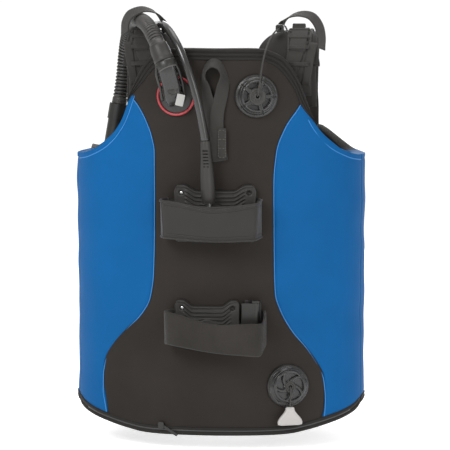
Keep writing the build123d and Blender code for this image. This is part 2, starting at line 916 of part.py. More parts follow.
hose_end, hose_end_length = straight_between(corrugated_route[-2], corrugated_route[-1])
cuff_foot = hose_end.offset(hose_end_length + fit_gap)
button_middle = inflator_plane.offset(button_place).origin
with BuildPart() as inflator_body:
    disc(cuff_foot, 0, end_cuff_length, hose_cuff_radius)
    disc(inflator_plane, 0, inflator_length, inflator_radius)
    with BuildSketch(inflator_plane.offset(bridge_low)):
        with Locations((2, 19)):
            RectangleRounded(15, 32, 6)
    extrude(amount=bridge_height)
    with BuildSketch(inflator_plane.offset(nipple_top)):
        with Locations(nipple_spot):
            Circle(nipple_radius)
    extrude(amount=nipple_length)
    disc(inflator_plane, deflate_pocket, inflator_length, deflate_radius + fit_gap, mode=Mode.SUBTRACT)
    with BuildSketch(Plane(origin=button_middle, z_dir=(0, 1, 0))):
        Circle(button_radius + fit_gap)
    extrude(amount=inflator_length, mode=Mode.SUBTRACT)
save(inflator_body, "inflator_body")

with BuildPart() as inflate_button:
    with BuildSketch(Plane(origin=button_middle + Vector(0, button_foot, 0), z_dir=(0, 1, 0))):
        Circle(button_radius)
    extrude(amount=button_length)
save(inflate_button, "inflate_button")

with BuildPart() as deflate_button:
    disc(inflator_plane, deflate_foot, deflate_foot + deflate_length, deflate_radius)
save(deflate_button, "deflate_button")

mouth_axis = (inflator_axis[2], 0, -inflator_axis[0])
mouth_plane = Plane(origin=inflator_plane.offset(mouth_place).origin, z_dir=mouth_axis)
mouth_start = inflator_radius + 0.2
with BuildPart() as mouthpiece:
    disc(mouth_plane, mouth_start, mouth_start + mouth_length, mouth_radius)
    with BuildSketch(mouth_plane.offset(mouth_start + mouth_length - 0.2)):
        Ellipse(mouth_radius, mouth_lip)
    extrude(amount=mouth_lip_depth)
save(mouthpiece, "mouthpiece")

with BuildPart() as qd_collar:
    with BuildSketch(inflator_plane.offset(collar_top)):
        with Locations(nipple_spot):
            Circle(collar_radius)
            Circle(collar_bore, mode=Mode.SUBTRACT)
    extrude(amount=collar_length)
save(qd_collar, "qd_collar")
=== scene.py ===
import json
import bpy
import numpy as np
from math import asin, atan2, copysign, cos, exp, pi, radians, sin, sqrt
from mathutils import Matrix, Vector, noise


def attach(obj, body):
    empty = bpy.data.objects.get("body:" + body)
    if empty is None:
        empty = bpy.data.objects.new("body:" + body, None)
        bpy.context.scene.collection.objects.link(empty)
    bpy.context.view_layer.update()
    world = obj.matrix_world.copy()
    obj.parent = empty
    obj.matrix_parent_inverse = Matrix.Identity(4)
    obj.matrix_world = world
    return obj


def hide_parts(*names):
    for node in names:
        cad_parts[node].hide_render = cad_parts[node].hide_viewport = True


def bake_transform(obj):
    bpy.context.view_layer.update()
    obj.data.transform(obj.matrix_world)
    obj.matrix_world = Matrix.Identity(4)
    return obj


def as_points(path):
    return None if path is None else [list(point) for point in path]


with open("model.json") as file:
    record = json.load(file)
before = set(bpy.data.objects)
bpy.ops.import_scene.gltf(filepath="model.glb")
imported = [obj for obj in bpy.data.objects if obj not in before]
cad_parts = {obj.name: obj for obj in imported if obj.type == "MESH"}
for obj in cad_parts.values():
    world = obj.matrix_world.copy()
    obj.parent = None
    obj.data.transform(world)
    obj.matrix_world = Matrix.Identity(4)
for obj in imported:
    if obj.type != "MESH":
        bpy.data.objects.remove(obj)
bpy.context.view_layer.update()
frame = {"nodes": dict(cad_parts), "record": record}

# Lengths in this script are millimetres, and MM turns them into Blender's metres.
MM = 0.001

# ---- the jacket's oval cross-section: four tangent arcs, as in the CAD frame ----
BACK_R = 313.2142857
BACK_C = 188.2142857
SIDE_R = 90.0
SIDE_C = 120.0
TANGENT = atan2(SIDE_C, BACK_C)
BACK_ARC = BACK_R * TANGENT
SIDE_ARC = SIDE_R * (pi - 2 * TANGENT)
HALF_ROUND = BACK_ARC + SIDE_ARC / 2
FULL_ROUND = 2 * BACK_ARC + SIDE_ARC
NECK_Z = 564.0
ARMHOLE_Z = 405.0


def oval(s, lift=0.0):
    """Point and outward normal at arc length s from the back's middle, positive to the wearer's right."""
    side = 1 if s >= 0 else -1
    a = abs(s)
    if a <= BACK_ARC:
        t, cx, cy, r = a / BACK_R, 0.0, BACK_C, BACK_R
    elif a <= BACK_ARC + SIDE_ARC:
        t, cx, cy, r = TANGENT + (a - BACK_ARC) / SIDE_R, SIDE_C, 0.0, SIDE_R
    else:
        t, cx, cy, r = pi - TANGENT + (a - BACK_ARC - SIDE_ARC) / BACK_R, 0.0, -BACK_C, BACK_R
    r += (4.5 if side < 0 else 1.5) * exp(-(((a - HALF_ROUND) / 80.0) ** 2))
    nx, ny = sin(t), -cos(t)
    return (cx + (r + lift) * nx) * side, cy + (r + lift) * ny, nx * side, ny


def arc_at(x):
    """Arc length on the back half at which the oval reaches x."""
    a = abs(x)
    if a <= BACK_R * sin(TANGENT):
        s = BACK_R * asin(a / BACK_R)
    else:
        s = BACK_ARC + SIDE_R * (asin(min(1.0, (a - SIDE_C) / SIDE_R)) - TANGENT)
    return s if x >= 0 else -s


def on_jacket(s, z, lift=0.0):
    x, y, _, _ = oval(s, lift)
    return Vector((x, y, z))


def normal_at(s):
    _, _, nx, ny = oval(s)
    return Vector((nx, ny, 0))


def along(points, value):
    """Smooth interpolation through (key, value) pairs in rising order of key."""
    if value <= points[0][0]:
        return points[0][1]
    if value >= points[-1][0]:
        return points[-1][1]
    for i in range(len(points) - 1):
        if value <= points[i + 1][0]:
            break
    k0, v0 = points[i]
    k1, v1 = points[i + 1]
    slope = (v1 - v0) / (k1 - k0)
    before = (v0 - points[i - 1][1]) / (k0 - points[i - 1][0]) if i else slope
    after = (points[i + 2][1] - v1) / (points[i + 2][0] - k1) if i + 2 < len(points) else slope
    m0 = 0.0 if before * slope <= 0 else 2 * before * slope / (before + slope)
    m1 = 0.0 if after * slope <= 0 else 2 * after * slope / (after + slope)
    h = k1 - k0
    t = (value - k0) / h
    return (
        (2 * t**3 - 3 * t**2 + 1) * v0
        + (t**3 - 2 * t**2 + t) * h * m0
        + (3 * t**2 - 2 * t**3) * v1
        + (t**3 - t**2) * h * m1
    )


def smooth_step(t):
    t = min(1.0, max(0.0, t))
    return t * t * (3 - 2 * t)


def bump(t):
    """Quarter-round rise from 0 at t = 0 to 1 at t = 1 and beyond."""
    t = min(1.0, max(0.0, t))
    return sqrt(1 - (1 - t) ** 2)


def wobble(x, y, z, scale, seed=0.0):
    """Smooth noise of about -1 to 1 at a point in millimetres; scale is the size of its waves."""
    return noise.noise(Vector((x / scale + seed, y / scale - seed, z / scale + 2 * seed)))


# ---- mesh helpers ----
def link_object(name, data):
    obj = bpy.data.objects.new(name, data)
    bpy.context.scene.collection.objects.link(obj)
    return obj


def new_object(name, verts, faces, uvs=None):
    mesh = bpy.data.meshes.new(name)
    mesh.from_pydata([[c * MM for c in v] for v in verts], [], faces)
    if uvs is not None:
        layer = mesh.uv_layers.new(name="UVMap")
        order = np.zeros(len(mesh.loops), dtype=np.int32)
        mesh.loops.foreach_get("vertex_index", order)
        layer.data.foreach_set("uv", (np.array(uvs, dtype=np.float32)[order] * MM).ravel())
    mesh.polygons.foreach_set("use_smooth", [True] * len(mesh.polygons))
    mesh.update()
    return link_object(name, mesh)


def join(name, parts):
    """One object from several, with their materials."""
    bpy.ops.object.select_all(action="DESELECT")
    for part in parts:
        part.select_set(True)
    bpy.context.view_layer.objects.active = parts[0]
    bpy.ops.object.join()
    parts[0].name = name
    parts[0].data.name = name
    return parts[0]


def dress(obj, slot, material, *replaces):
    obj.data.materials.clear()
    obj.data.materials.append(material)
    if replaces:
        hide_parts(*replaces)


def finish_piece(obj, slot, material, *replaces, body="vest"):
    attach(obj, body)
    dress(obj, slot, material, *replaces)


def slab(name, columns, rows, outer, inner, metric):
    """Closed slab between two surfaces over the unit square; metric gives its cloth coordinates."""
    verts, uvs = [], []
    for surface in (outer, inner):
        for j in range(rows + 1):
            for i in range(columns + 1):
                u, v = i / columns, j / rows
                verts.append(surface(u, v))
                uvs.append(metric(u, v)[:2])
    wide = columns + 1
    layer = wide * (rows + 1)
    corners = [j * wide + i for j in range(rows) for i in range(columns)]
    faces = [(a, a + 1, a + wide + 1, a + wide) for a in corners]
    faces += [tuple(layer + k for k in reversed(f)) for f in faces]
    border = list(range(wide)) + [j * wide + columns for j in range(1, rows + 1)]
    border += [rows * wide + i for i in range(columns - 1, -1, -1)] + [j * wide for j in range(rows - 1, 0, -1)]
    for a, b in zip(border, border[1:] + border[:1]):
        faces.append((b, a, layer + a, layer + b))
    return new_object(name, verts, faces, uvs)


def catmull(points, steps):
    """Smooth path through a few points."""
    pts = [Vector(p) for p in points]
    ends = [2 * pts[0] - pts[1]] + pts + [2 * pts[-1] - pts[-2]]
    path = []
    for p0, p1, p2, p3 in zip(ends, ends[1:], ends[2:], ends[3:]):
        bend, twist = 2 * p0 - 5 * p1 + 4 * p2 - p3, 3 * p1 - p0 - 3 * p2 + p3
        for k in range(steps):
            t = k / steps
            path.append(0.5 * (2 * p1 + (p2 - p0) * t + bend * t**2 + twist * t**3))
    return path + [pts[-1]]


def direction_at(path, i):
    return (path[min(len(path) - 1, i + 1)] - path[max(0, i - 1)]).normalized()


def ring_faces(rings, sides):
    """Faces of a closed tube of equal rings, with flat ends."""
    faces = []
    for a in range(0, (rings - 1) * sides, sides):
        for k in range(sides):
            m = (k + 1) % sides
            faces.append((a + k, a + m, a + sides + m, a + sides + k))
    return faces + [tuple(reversed(range(sides))), tuple((rings - 1) * sides + k for k in range(sides))]


def sweep(name, path, profile, ups=None, size=None):
    """Profile of (across, up) points carried along a path; size(i, distance) scales it."""
    around = [0.0]
    for a, b in zip(profile, profile[1:]):
        around.append(around[-1] + sqrt((a[0] - b[0]) ** 2 + (a[1] - b[1]) ** 2))
    verts, uvs, distance, up = [], [], 0.0, Vector((0, 0, 1))
    for i, p in enumerate(path):
        tangent = direction_at(path, i)
        if ups is not None:
            up = Vector(ups[i] if isinstance(ups, list) else ups)
        elif abs(up.dot(tangent)) > 0.99:
            up = Vector((0, 1, 0))
        side = tangent.cross(up).normalized()
        high = side.cross(tangent).normalized()
        up = high
        wide, tall = size(i, distance) if size else (1.0, 1.0)
        for (a, b), reach in zip(profile, around):
            verts.append(p + side * (a * wide) + high * (b * tall))
            uvs.append((distance, reach))
        distance += (path[min(len(path) - 1, i + 1)] - p).length
    return new_object(name, verts, ring_faces(len(path), len(profile)), uvs)


def round_profile(radius, sides=12):
    return [(radius * cos(2 * pi * k / sides), radius * sin(2 * pi * k / sides)) for k in range(sides)]


def superellipse(width, height, power_x, power_y, sides):
    """Points round a boxy oval; a low power makes that direction squarer."""
    points = []
    for k in range(sides):
        a, b = cos(2 * pi * k / sides), sin(2 * pi * k / sides)
        points.append((copysign(width * abs(a) ** power_x, a), copysign(height * abs(b) ** power_y, b)))
    return points


def strap_profile(width, thickness):
    """Flat webbing section with rounded selvedges."""
    r = thickness / 2
    half = width / 2 - r
    profile = []
    for end in (1, -1):
        for k in range(5):
            t = pi * (k / 4 - 0.5)
            profile.append((end * (half + r * cos(t)), end * r * sin(t)))
        profile += [(end * half * (1 - k / 4), end * r) for k in range(1, 8)]
    return profile


def lathe(name, profile, plane, sides=64, wave=None):
    """Surface of revolution through (radius, height) pairs; wave(i, angle, r, h) may reshape it."""
    verts, faces, rings = [], [], []
    for i, (r, h) in enumerate(profile):
        start, count = len(verts), sides if r else 1
        for k in range(count):
            t = 2 * pi * k / sides
            wide, tall = wave(i, t, r, h) if wave else (r, h)
            verts.append(plane @ Vector((wide * cos(t), wide * sin(t), tall)))
        rings.append([start + k % count for k in range(sides)])
    for low, high in zip(rings, rings[1:]):
        for k in range(sides):
            m = (k + 1) % sides
            faces.append(tuple(dict.fromkeys((low[k], low[m], high[m], high[k]))))
    return new_object(name, verts, faces)


def frame_at(origin, z_axis, x_axis):
    z = Vector(z_axis).normalized()
    x = Vector(x_axis)
    x = (x - z * x.dot(z)).normalized()
    y = z.cross(x)
    m = Matrix((x, y, z)).transposed().to_4x4()
    m.translation = Vector(origin)
    return m


def jacket_frame(x, z):
    """Frame on the jacket's surface: its z points out and its y up."""
    px, py, nx, ny = oval(arc_at(x))
    out = Vector((nx, ny, 0))
    return frame_at((px, py, z), out, Vector((0, 0, 1)).cross(out))


def block(name, plane, outline, low, high, bevel=0.6):
    """Prism of a closed outline, with rounded edges."""
    verts = [plane @ Vector((x, y, h)) for h in (low, high) for x, y in outline]
    obj = new_object(name, verts, ring_faces(2, len(outline)))
    modifier = obj.modifiers.new("Bevel", "BEVEL")
    modifier.width = bevel * MM
    modifier.segments = 3
    modifier.limit_method = "ANGLE"
    modifier.angle_limit = radians(35)
    modifier.use_clamp_overlap = True
    bpy.context.view_layer.update()
    sharp, graph = obj.data, bpy.context.evaluated_depsgraph_get()
    mesh = bpy.data.meshes.new_from_object(obj.evaluated_get(graph))
    obj.modifiers.clear()
    obj.data = mesh
    bpy.data.meshes.remove(sharp)
    mesh.name = name
    return obj


def rounded(width, height, radius, tall_radius=None, steps=5):
    """Outline of a rectangle with round or oval corners."""
    tall_radius = tall_radius or radius
    points = []
    for quarter, (sx, sy) in enumerate(((1, 1), (-1, 1), (-1, -1), (1, -1))):
        for k in range(steps + 1):
            t = pi / 2 * (quarter + k / steps)
            x = sx * (width / 2 - radius) + radius * cos(t)
            points.append((x, sy * (height / 2 - tall_radius) + tall_radius * sin(t)))
    return points


STITCH_PITCH = 3.6
STITCH_LENGTH = 2.5
THREAD_RADIUS = 0.38


def stitches(path, ups, lift=0.25):
    """Row of separate thread stitches along a path, each a small rounded bar."""
    verts, faces = [], []
    path = [Vector(p) for p in path]
    gaps = [(b - a).length for a, b in zip(path, path[1:])]
    total = sum(gaps)
    count = max(1, int(total / STITCH_PITCH))

    def at(d):
        d = min(max(d, 0.0), total - 1e-6)
        for i, gap in enumerate(gaps):
            if d <= gap:
                break
            d -= gap
        return path[i].lerp(path[i + 1], d / gap), Vector(ups[i] if isinstance(ups, list) else ups)

    for c in range(count):
        middle = (c + 0.5) * total / count
        start, up = at(middle - STITCH_LENGTH / 2)
        end, _ = at(middle + STITCH_LENGTH / 2)
        side = (end - start).normalized().cross(up).normalized()
        faces += [tuple(len(verts) + k for k in face) for face in ring_faces(4, 6)]
        for t, grow, rise in ((0.0, 0.45, -0.5), (0.2, 1.0, 0.3), (0.8, 1.0, 0.3), (1.0, 0.45, -0.5)):
            ring = start.lerp(end, t) + up * (lift + rise * THREAD_RADIUS)
            for a, b in round_profile(THREAD_RADIUS * grow, 6):
                verts.append(ring + side * a + up * b)
    return new_object("stitch", verts, faces)


# ---- materials ----
def shader(name, colour, roughness, metallic=0.0, specular=0.5, sheen=0.0):
    """New material with its node adder, its linker and its principled shader."""
    mat = bpy.data.materials.new(name)
    mat.use_nodes = True
    tree = mat.node_tree
    bsdf = tree.nodes["Principled BSDF"]
    bsdf.inputs["Base Color"].default_value = (*colour, 1)
    for socket, value in (
        ("Roughness", roughness),
        ("Metallic", metallic),
        ("Specular IOR Level", specular),
        ("Sheen Weight", sheen),
        ("Sheen Roughness", 0.4),
    ):
        bsdf.inputs[socket].default_value = value

    def add(kind, values=None, links=None, **settings):
        return add_node(tree, kind, values, links, **settings)

    return mat, add, tree.links.new, bsdf.inputs


def add_node(tree, kind, values=None, links=None, **settings):
    node = tree.nodes.new("ShaderNode" + kind)
    for key, value in settings.items():
        setattr(node, key, value)
    for key, value in (values or {}).items():
        node.inputs[key].default_value = value
    for key, source in (links or {}).items():
        tree.links.new(source, node.inputs[key])
    return node


def noise_texture(add, coordinate, scale, detail, roughness=0.5):
    values = {"Scale": scale, "Detail": detail, "Roughness": roughness}
    return add("TexNoise", values, {"Vector": coordinate}).outputs["Fac"]


def mottled(add, colour, spread, scale, coordinate):
    """Slow colour variation round a base colour."""
    ramp = add("ValToRGB", links={"Fac": noise_texture(add, coordinate, scale, 4.0, 0.6)})
    for end, place, change in ((0, 0.3, -spread), (1, 0.7, spread)):
        ramp.color_ramp.elements[end].position = place
        ramp.color_ramp.elements[end].color = (*[min(1, c * (1 + change)) for c in colour], 1)
    return ramp.outputs["Color"]


def rough_range(add, link, inputs, source, low, high):
    spread = add("MapRange", {"To Min": low, "To Max": high}, {"Value": source})
    link(spread.outputs["Result"], inputs["Roughness"])


def add_relief(add, link, inputs, height, strength, distance):
    relief = add("Bump", {"Strength": strength, "Distance": distance}, {"Height": height})
    link(relief.outputs["Normal"], inputs["Normal"])


def cloth(name, colour, pitch, depth, roughness=0.62, sheen=0.08, spread=0.12, slub=0.0, specular=0.15):
    """Plain-woven cloth: crossing threads from the cloth coordinates, with slow mottling and painted shade
    between the threads.
    """
    mat, add, link, inputs = shader(name, colour, roughness, sheen=sheen, specular=specular)
    places = add("TexCoord").outputs
    waves = []
    for direction in ("X", "Y"):
        values = {"Scale": 0.314 / (pitch * MM), "Distortion": slub, "Detail": 1.0}
        threads = add("TexWave", values, {"Vector": places["UV"]}, wave_type="BANDS", bands_direction=direction)
        waves.append(threads.outputs["Fac"])
    weave = add("Math", links={0: waves[0], 1: waves[1]}, operation="MULTIPLY").outputs[0]
    # The weave makes the colour lighter on the threads' crests and darker between them: painted shade of the
    # threads' relief.
    lift = add("MapRange", {"To Min": 0.55, "To Max": 1.3}, {"Value": weave})
    shade = add("Mix", {"Factor": 0.5}, data_type="RGBA", blend_type="MULTIPLY")
    link(mottled(add, colour, spread, 9.0, places["Object"]), shade.inputs["A"])
    link(lift.outputs["Result"], shade.inputs["B"])
    link(shade.outputs["Result"], inputs["Base Color"])
    fine = noise_texture(add, places["Object"], 900.0, 3.0)
    both = add("Math", links={0: weave, 1: fine}, operation="ADD")
    add_relief(add, link, inputs, both.outputs[0], depth, 0.0006)
    rough_range(add, link, inputs, fine, roughness - 0.08, roughness + 0.08)
    return mat


def coated(name, colour, roughness, depth=0.06, sheen=0.0, specular=0.4):
    """Smooth coated or moulded surface: fine grain, slow mottling and soft scuffs."""
    mat, add, link, inputs = shader(name, colour, roughness, sheen=sheen, specular=specular)
    place = add("TexCoord").outputs["Object"]
    link(mottled(add, colour, 0.08, 7.0, place), inputs["Base Color"])
    add_relief(add, link, inputs, noise_texture(add, place, 600.0, 4.0, 0.65), depth, 0.0005)
    scuffs = noise_texture(add, place, 35.0, 6.0, 0.7)
    rough_range(add, link, inputs, scuffs, roughness - 0.1, roughness + 0.1)
    return mat


def metal(name, colour, roughness):
    """Brushed metal with faint streaks."""
    mat, add, link, inputs = shader(name, colour, roughness, metallic=1.0)
    place = add("TexCoord").outputs["Object"]
    stretch = add("Mapping", {"Scale": (1.0, 1.0, 0.12)}, {"Vector": place})
    streaks = noise_texture(add, stretch.outputs["Vector"], 300.0, 5.0)
    rough_range(add, link, inputs, streaks, roughness - 0.1, roughness + 0.15)
    add_relief(add, link, inputs, streaks, 0.08, 0.0003)
    return mat


BLUE_CLOTH = cloth("blue_cloth", (0.0004, 0.082, 0.248), 0.7, 0.1, 0.6, sheen=0.0, spread=0.07, specular=0.1)
BLACK_CLOTH = cloth("black_cloth", (0.0225, 0.0187, 0.016), 0.6, 0.1, sheen=0.02, spread=0.14, specular=0.1)
LINING_CLOTH = cloth("lining_cloth", (0.02, 0.02, 0.021), 1.0, 0.2, 0.7, sheen=0.1)
MESH_CLOTH = cloth("mesh_cloth", (0.024, 0.024, 0.025), 3.2, 0.8, 0.8, sheen=0.15, spread=0.15)
BINDING_CLOTH = cloth("binding_cloth", (0.016, 0.0145, 0.013), 1.1, 0.35, sheen=0.06)
WEBBING = cloth("webbing", (0.033, 0.031, 0.028), 1.5, 0.6, spread=0.16, specular=0.18)
BAND_WEBBING = cloth(
    "band_webbing", (0.031, 0.028, 0.025), 1.6, 1.0, 0.85, sheen=0.12, spread=0.28, slub=2.5, specular=0.1
)
PAD_CLOTH = cloth("pad_cloth", (0.02, 0.0185, 0.017), 1.2, 0.4, 0.7)
SLEEVE_CLOTH = cloth("sleeve_cloth", (0.026, 0.024, 0.022), 0.9, 0.25, 0.6, sheen=0.15, specular=0.2)
CORD_BRAID = cloth("cord_braid", (0.045, 0.043, 0.04), 0.8, 0.7, 0.6, sheen=0.05, specular=0.35)
# Lighter blue than the panels' cloth: a painted highlight along the seams.
SEAM_HIGHLIGHT_CLOTH = coated("seam_painted_highlight", (0.02, 0.16, 0.42), 0.6, sheen=0.1)
THREAD = coated("thread", (0.09, 0.085, 0.078), 0.6, sheen=0.1)
GLOSS_PLASTIC = coated("gloss_plastic", (0.014, 0.0135, 0.013), 0.26, 0.05, sheen=0.1, specular=0.5)
HUB_PLASTIC = coated("hub_plastic", (0.034, 0.033, 0.031), 0.5, 0.3, specular=0.25)
ZIP_PLASTIC = coated("zip_plastic", (0.03, 0.03, 0.03), 0.35, 0.2, sheen=0.1)
RUBBER = coated("rubber", (0.026, 0.0245, 0.0225), 0.46, 0.12, specular=0.3)
HOSE_RUBBER = coated("hose_rubber", (0.03, 0.0285, 0.0265), 0.42, 0.08)
GLOSS_HOSE = coated("gloss_hose", (0.02, 0.02, 0.019), 0.2, 0.03, specular=0.55)
BLACK_PLASTIC = coated("black_plastic", (0.014, 0.0135, 0.0125), 0.36, 0.08)
GREY_PLASTIC = coated("grey_plastic", (0.07, 0.068, 0.065), 0.45, 0.15, specular=0.35)
# Near-black: painted shade in the hose's grooves and in the boot's slots.
PAINTED_RECESS_SHADE = coated("painted_recess_shade", (0.005, 0.005, 0.005), 0.6, specular=0.1)
RED_PLASTIC = coated("red_plastic", (0.3, 0.03, 0.036), 0.35)
PALE_PLASTIC = coated("pale_plastic", (0.36, 0.345, 0.335), 0.5, 0.1, sheen=0.1)
TAG_PAPER = coated("tag_paper", (0.3, 0.3, 0.29), 0.6, 0.05, sheen=0.1)
SILICONE = coated("silicone", (0.03, 0.03, 0.032), 0.4, sheen=0.1)
STEEL = metal("steel", (0.62, 0.62, 0.62), 0.3)
DARK_STEEL = metal("dark_steel", (0.2, 0.2, 0.2), 0.35)


# ---- outlines of the jacket's panels, heights in millimetres above the hem ----
TOP_EDGE = [
    (0, 564), (66, 564), (88, 556), (106, 540), (121, 509), (137, 468), (148, 447), (165, 429),
    (188, 411), (204, 405.5), (211, 405),
]
TOP_LINE = [
    (0, 564), (60, 564), (80, 559.5), (96, 551), (108, 537), (118, 518), (128, 492), (138, 464),
    (148, 446), (160, 431), (175, 419), (192, 409.5), (202, 406), (208, 405),
]
HEM_EDGE = [(0, 0), (95, 0.5), (130, 5), (160, 12), (185, 20), (200, 28), (208, 36), (211, 40)]
PANEL_EDGE = {
    -1: [
        (0, 162), (37, 167), (55, 170), (80, 170), (99, 167), (124, 154), (150, 134), (175, 111),
        (199, 98), (237, 92.5), (309, 91), (414, 91), (436, 95), (458, 103), (480, 115), (497, 129),
    ],
    1: [
        (0, 150), (25, 157), (49, 158), (77, 155.5), (99, 146.5), (124, 131.5), (152, 110), (181, 94),
        (206, 86), (240, 84.5), (368, 83.5), (415, 87.5), (449, 100), (481, 121), (497, 129),
    ],
}


def edge_table(points):
    """Same edge by arc length in place of x."""
    return [(arc_at(x), z) for x, z in points]


TOP_BY_ARC = edge_table(TOP_EDGE)
HEM_BY_ARC = edge_table(HEM_EDGE)


def top_z(s):
    return along(TOP_BY_ARC, abs(s))


def hem_z(s):
    return along(HEM_BY_ARC, abs(s))


def panel_half(z, side):
    """Arc length from the middle to the black panel's edge at height z."""
    return arc_at(along(PANEL_EDGE[side], z))


HALF_WIDTH_AT = [(z, arc_at(x)) for x, z in reversed(TOP_EDGE[1:])]


def top_half(z):
    """Arc length from the middle to the jacket's edge at height z, above the armholes' lowest point."""
    return along(HALF_WIDTH_AT, z)


# ---- camera, lights and floor ----
CAMERA_AZIMUTH = radians(4)
CAMERA_ELEVATION = radians(6)
CAMERA_DISTANCE = 4500.0
VIEW_WIDTH = 652.5
AIM = Vector((13.1, -125.0, 308.9))
FLOOR_HEIGHT = -22.0


def look_at(obj, place, target):
    obj.location = Vector(place) * MM
    obj.rotation_euler = (Vector(target) - Vector(place)).to_track_quat("-Z", "Y").to_euler()


def build_stage():
    scene = bpy.context.scene
    scene.view_settings.view_transform = "Standard"
    camera = bpy.data.cameras.new("camera")
    camera.sensor_width = 36.0
    camera.lens = 36.0 * CAMERA_DISTANCE / VIEW_WIDTH
    camera.clip_end = 50.0
    scene.camera = link_object("camera", camera)
    flat = cos(CAMERA_ELEVATION)
    back = Vector((sin(CAMERA_AZIMUTH) * flat, -cos(CAMERA_AZIMUTH) * flat, sin(CAMERA_ELEVATION)))
    look_at(scene.camera, AIM + back * CAMERA_DISTANCE, AIM)

    world = bpy.data.worlds.new("studio")
    world.use_nodes = True
    tree = world.node_tree
    direction = add_node(tree, "TexCoord")
    parts = add_node(tree, "SeparateXYZ", links={"Vector": direction.outputs["Generated"]})
    values = {"From Min": 0.3, "From Max": 0.85, "To Min": 0.6, "To Max": 1.03}
    glow = add_node(tree, "MapRange", values, {"Value": parts.outputs["Y"]})
    background = tree.nodes["Background"].inputs
    tree.links.new(glow.outputs["Result"], background["Strength"])
    background["Color"].default_value = (1, 1, 1, 1)
    scene.world = world

    for name, place, size, power in (
        ("key", (-1100, -2000, 1700), 1000, 42.0),
        ("fill", (1500, -1900, 900), 1200, 16.0),
        ("top", (0, 100, 2300), 1500, 22.0),
        ("front_fill", (300, 2400, 700), 1400, 16.0),
    ):
        lamp = bpy.data.lights.new(name, "AREA")
        lamp.shape = "SQUARE"
        lamp.size = size * MM
        lamp.energy = power
        look_at(link_object(name, lamp), place, (0, 0, 300))

    reach = 9000.0
    corners = [(-reach, -reach), (reach, -reach), (reach, reach), (-reach, reach)]
    floor = new_object("floor", [(x, y, FLOOR_HEIGHT) for x, y in corners], [(0, 1, 2, 3)])
    material, add, link, inputs = shader("floor", (0.95, 0.95, 0.95), 0.9, specular=0.1)
    inputs["Emission Color"].default_value = (1, 1, 1, 1)
    inputs["Emission Strength"].default_value = 0.5
    speckle = add("TexNoise", {"Scale": 3.0})
    tint = add("MapRange", {"To Min": 0.93, "To Max": 0.96}, {"Value": speckle.outputs["Fac"]})
    link(tint.outputs["Result"], inputs["Base Color"])
    floor.data.materials.append(material)


build_stage()

# ---- cords: the routes are those of the CAD tubes ----
CORRUGATED_ROUTE = [
    (-81, -140, 566), (-89.5, -126, 582), (-99.5, -100, 595), (-110.5, -65, 601), (-120, -25, 601.5),
    (-129, 14, 601), (-139, 50, 594), (-148, 78, 573), (-154, 95, 542), (-158, 102, 505),
    (-164, 102, 470),
]
LP_ROUTE = [
    (-137.9, 106, 456.1), (-133.5, 108, 486), (-129, 109, 519), (-120, 99, 554), (-109, 72, 582),
    (-100, 34, 593), (-94, -8, 594), (-88, -50, 596), (-79, -90, 598), (-67, -122, 590),
    (-52, -142, 568), (-38, -151, 535), (-27, -153, 500), (-19, -152, 465), (-14, -150, 432),
]
SHOULDER_CORD_ROUTE = [
    (60.2, -131, 496), (61.5, -138, 499), (63.5, -141, 510), (66, -138, 532), (70, -129, 557),
    (75.5, -113, 575), (81.5, -93, 586), (86.5, -74, 590.2), (90.5, -46, 592.2), (92, -12, 592.7),
    (93, 22, 591), (95, 50, 581), (97, 76, 563), (98.2, 94, 546), (98.6, 103.3, 531),
    (98.6, 103.5, 516),
]
LOWER_CORD_ROUTE = [
    (107.2, -118.3, 72.5), (108.9, -123.6, 71.5), (109.4, -125.8, 66), (108.9, -124.2, 56),
    (108, -122, 44), (107.8, -121.6, 36),
]


def route_curve(name, route, radius=0.0):
    """Curve object whose one smooth spline has the route's points as its control points."""
    curve = bpy.data.curves.new(name, "CURVE")
    curve.dimensions = "3D"
    curve.resolution_u = 12
    spline = curve.splines.new("NURBS")
    spline.points.add(len(route) - 1)
    for point, place in zip(spline.points, route):
        point.co = (*[c * MM for c in place], 1)
    spline.order_u = 3
    spline.use_endpoint_u = True
    curve.bevel_depth = radius * MM
    curve.bevel_resolution = 5
    curve.use_fill_caps = True
    return link_object(name, curve)


def route_line(route):
    """Points along a route's own smooth spline, in millimetres."""
    guide = route_curve("guide", route)
    bpy.context.view_layer.update()
    mesh = bpy.data.meshes.new_from_object(guide.evaluated_get(bpy.context.evaluated_depsgraph_get()))
    line = [v.co / MM for v in mesh.vertices]
    bpy.data.meshes.remove(mesh)
    bpy.data.objects.remove(guide)
    return line


def even_line(line, step):
    """Same line with points an even step apart, for the rings of a mesh tube."""
    gaps = [(b - a).length for a, b in zip(line, line[1:])]
    total = sum(gaps)
    count = max(2, int(total / step))
    result, i, passed = [], 0, 0.0
    for k in range(count + 1):
        d = total * k / count
        while i < len(gaps) - 1 and passed + gaps[i] < d:
            passed += gaps[i]
            i += 1
        t = (d - passed) / gaps[i] if gaps[i] else 0.0
        result.append(line[i].lerp(line[i + 1], min(1.0, t)))
    return result


def length_of(line):
    return sum((b - a).length for a, b in zip(line, line[1:]))


HOSE_RADIUS = 11.5
HOSE_SIDES = 28
RIB_PITCH = 5.4
RIB_RINGS = 8
# Rings of each rib pitch whose faces get the painted groove shade.
SHADED_GROOVE_RINGS = (3, 4)
LP_RADIUS = 5.75
CORD_RADIUS = 1.25


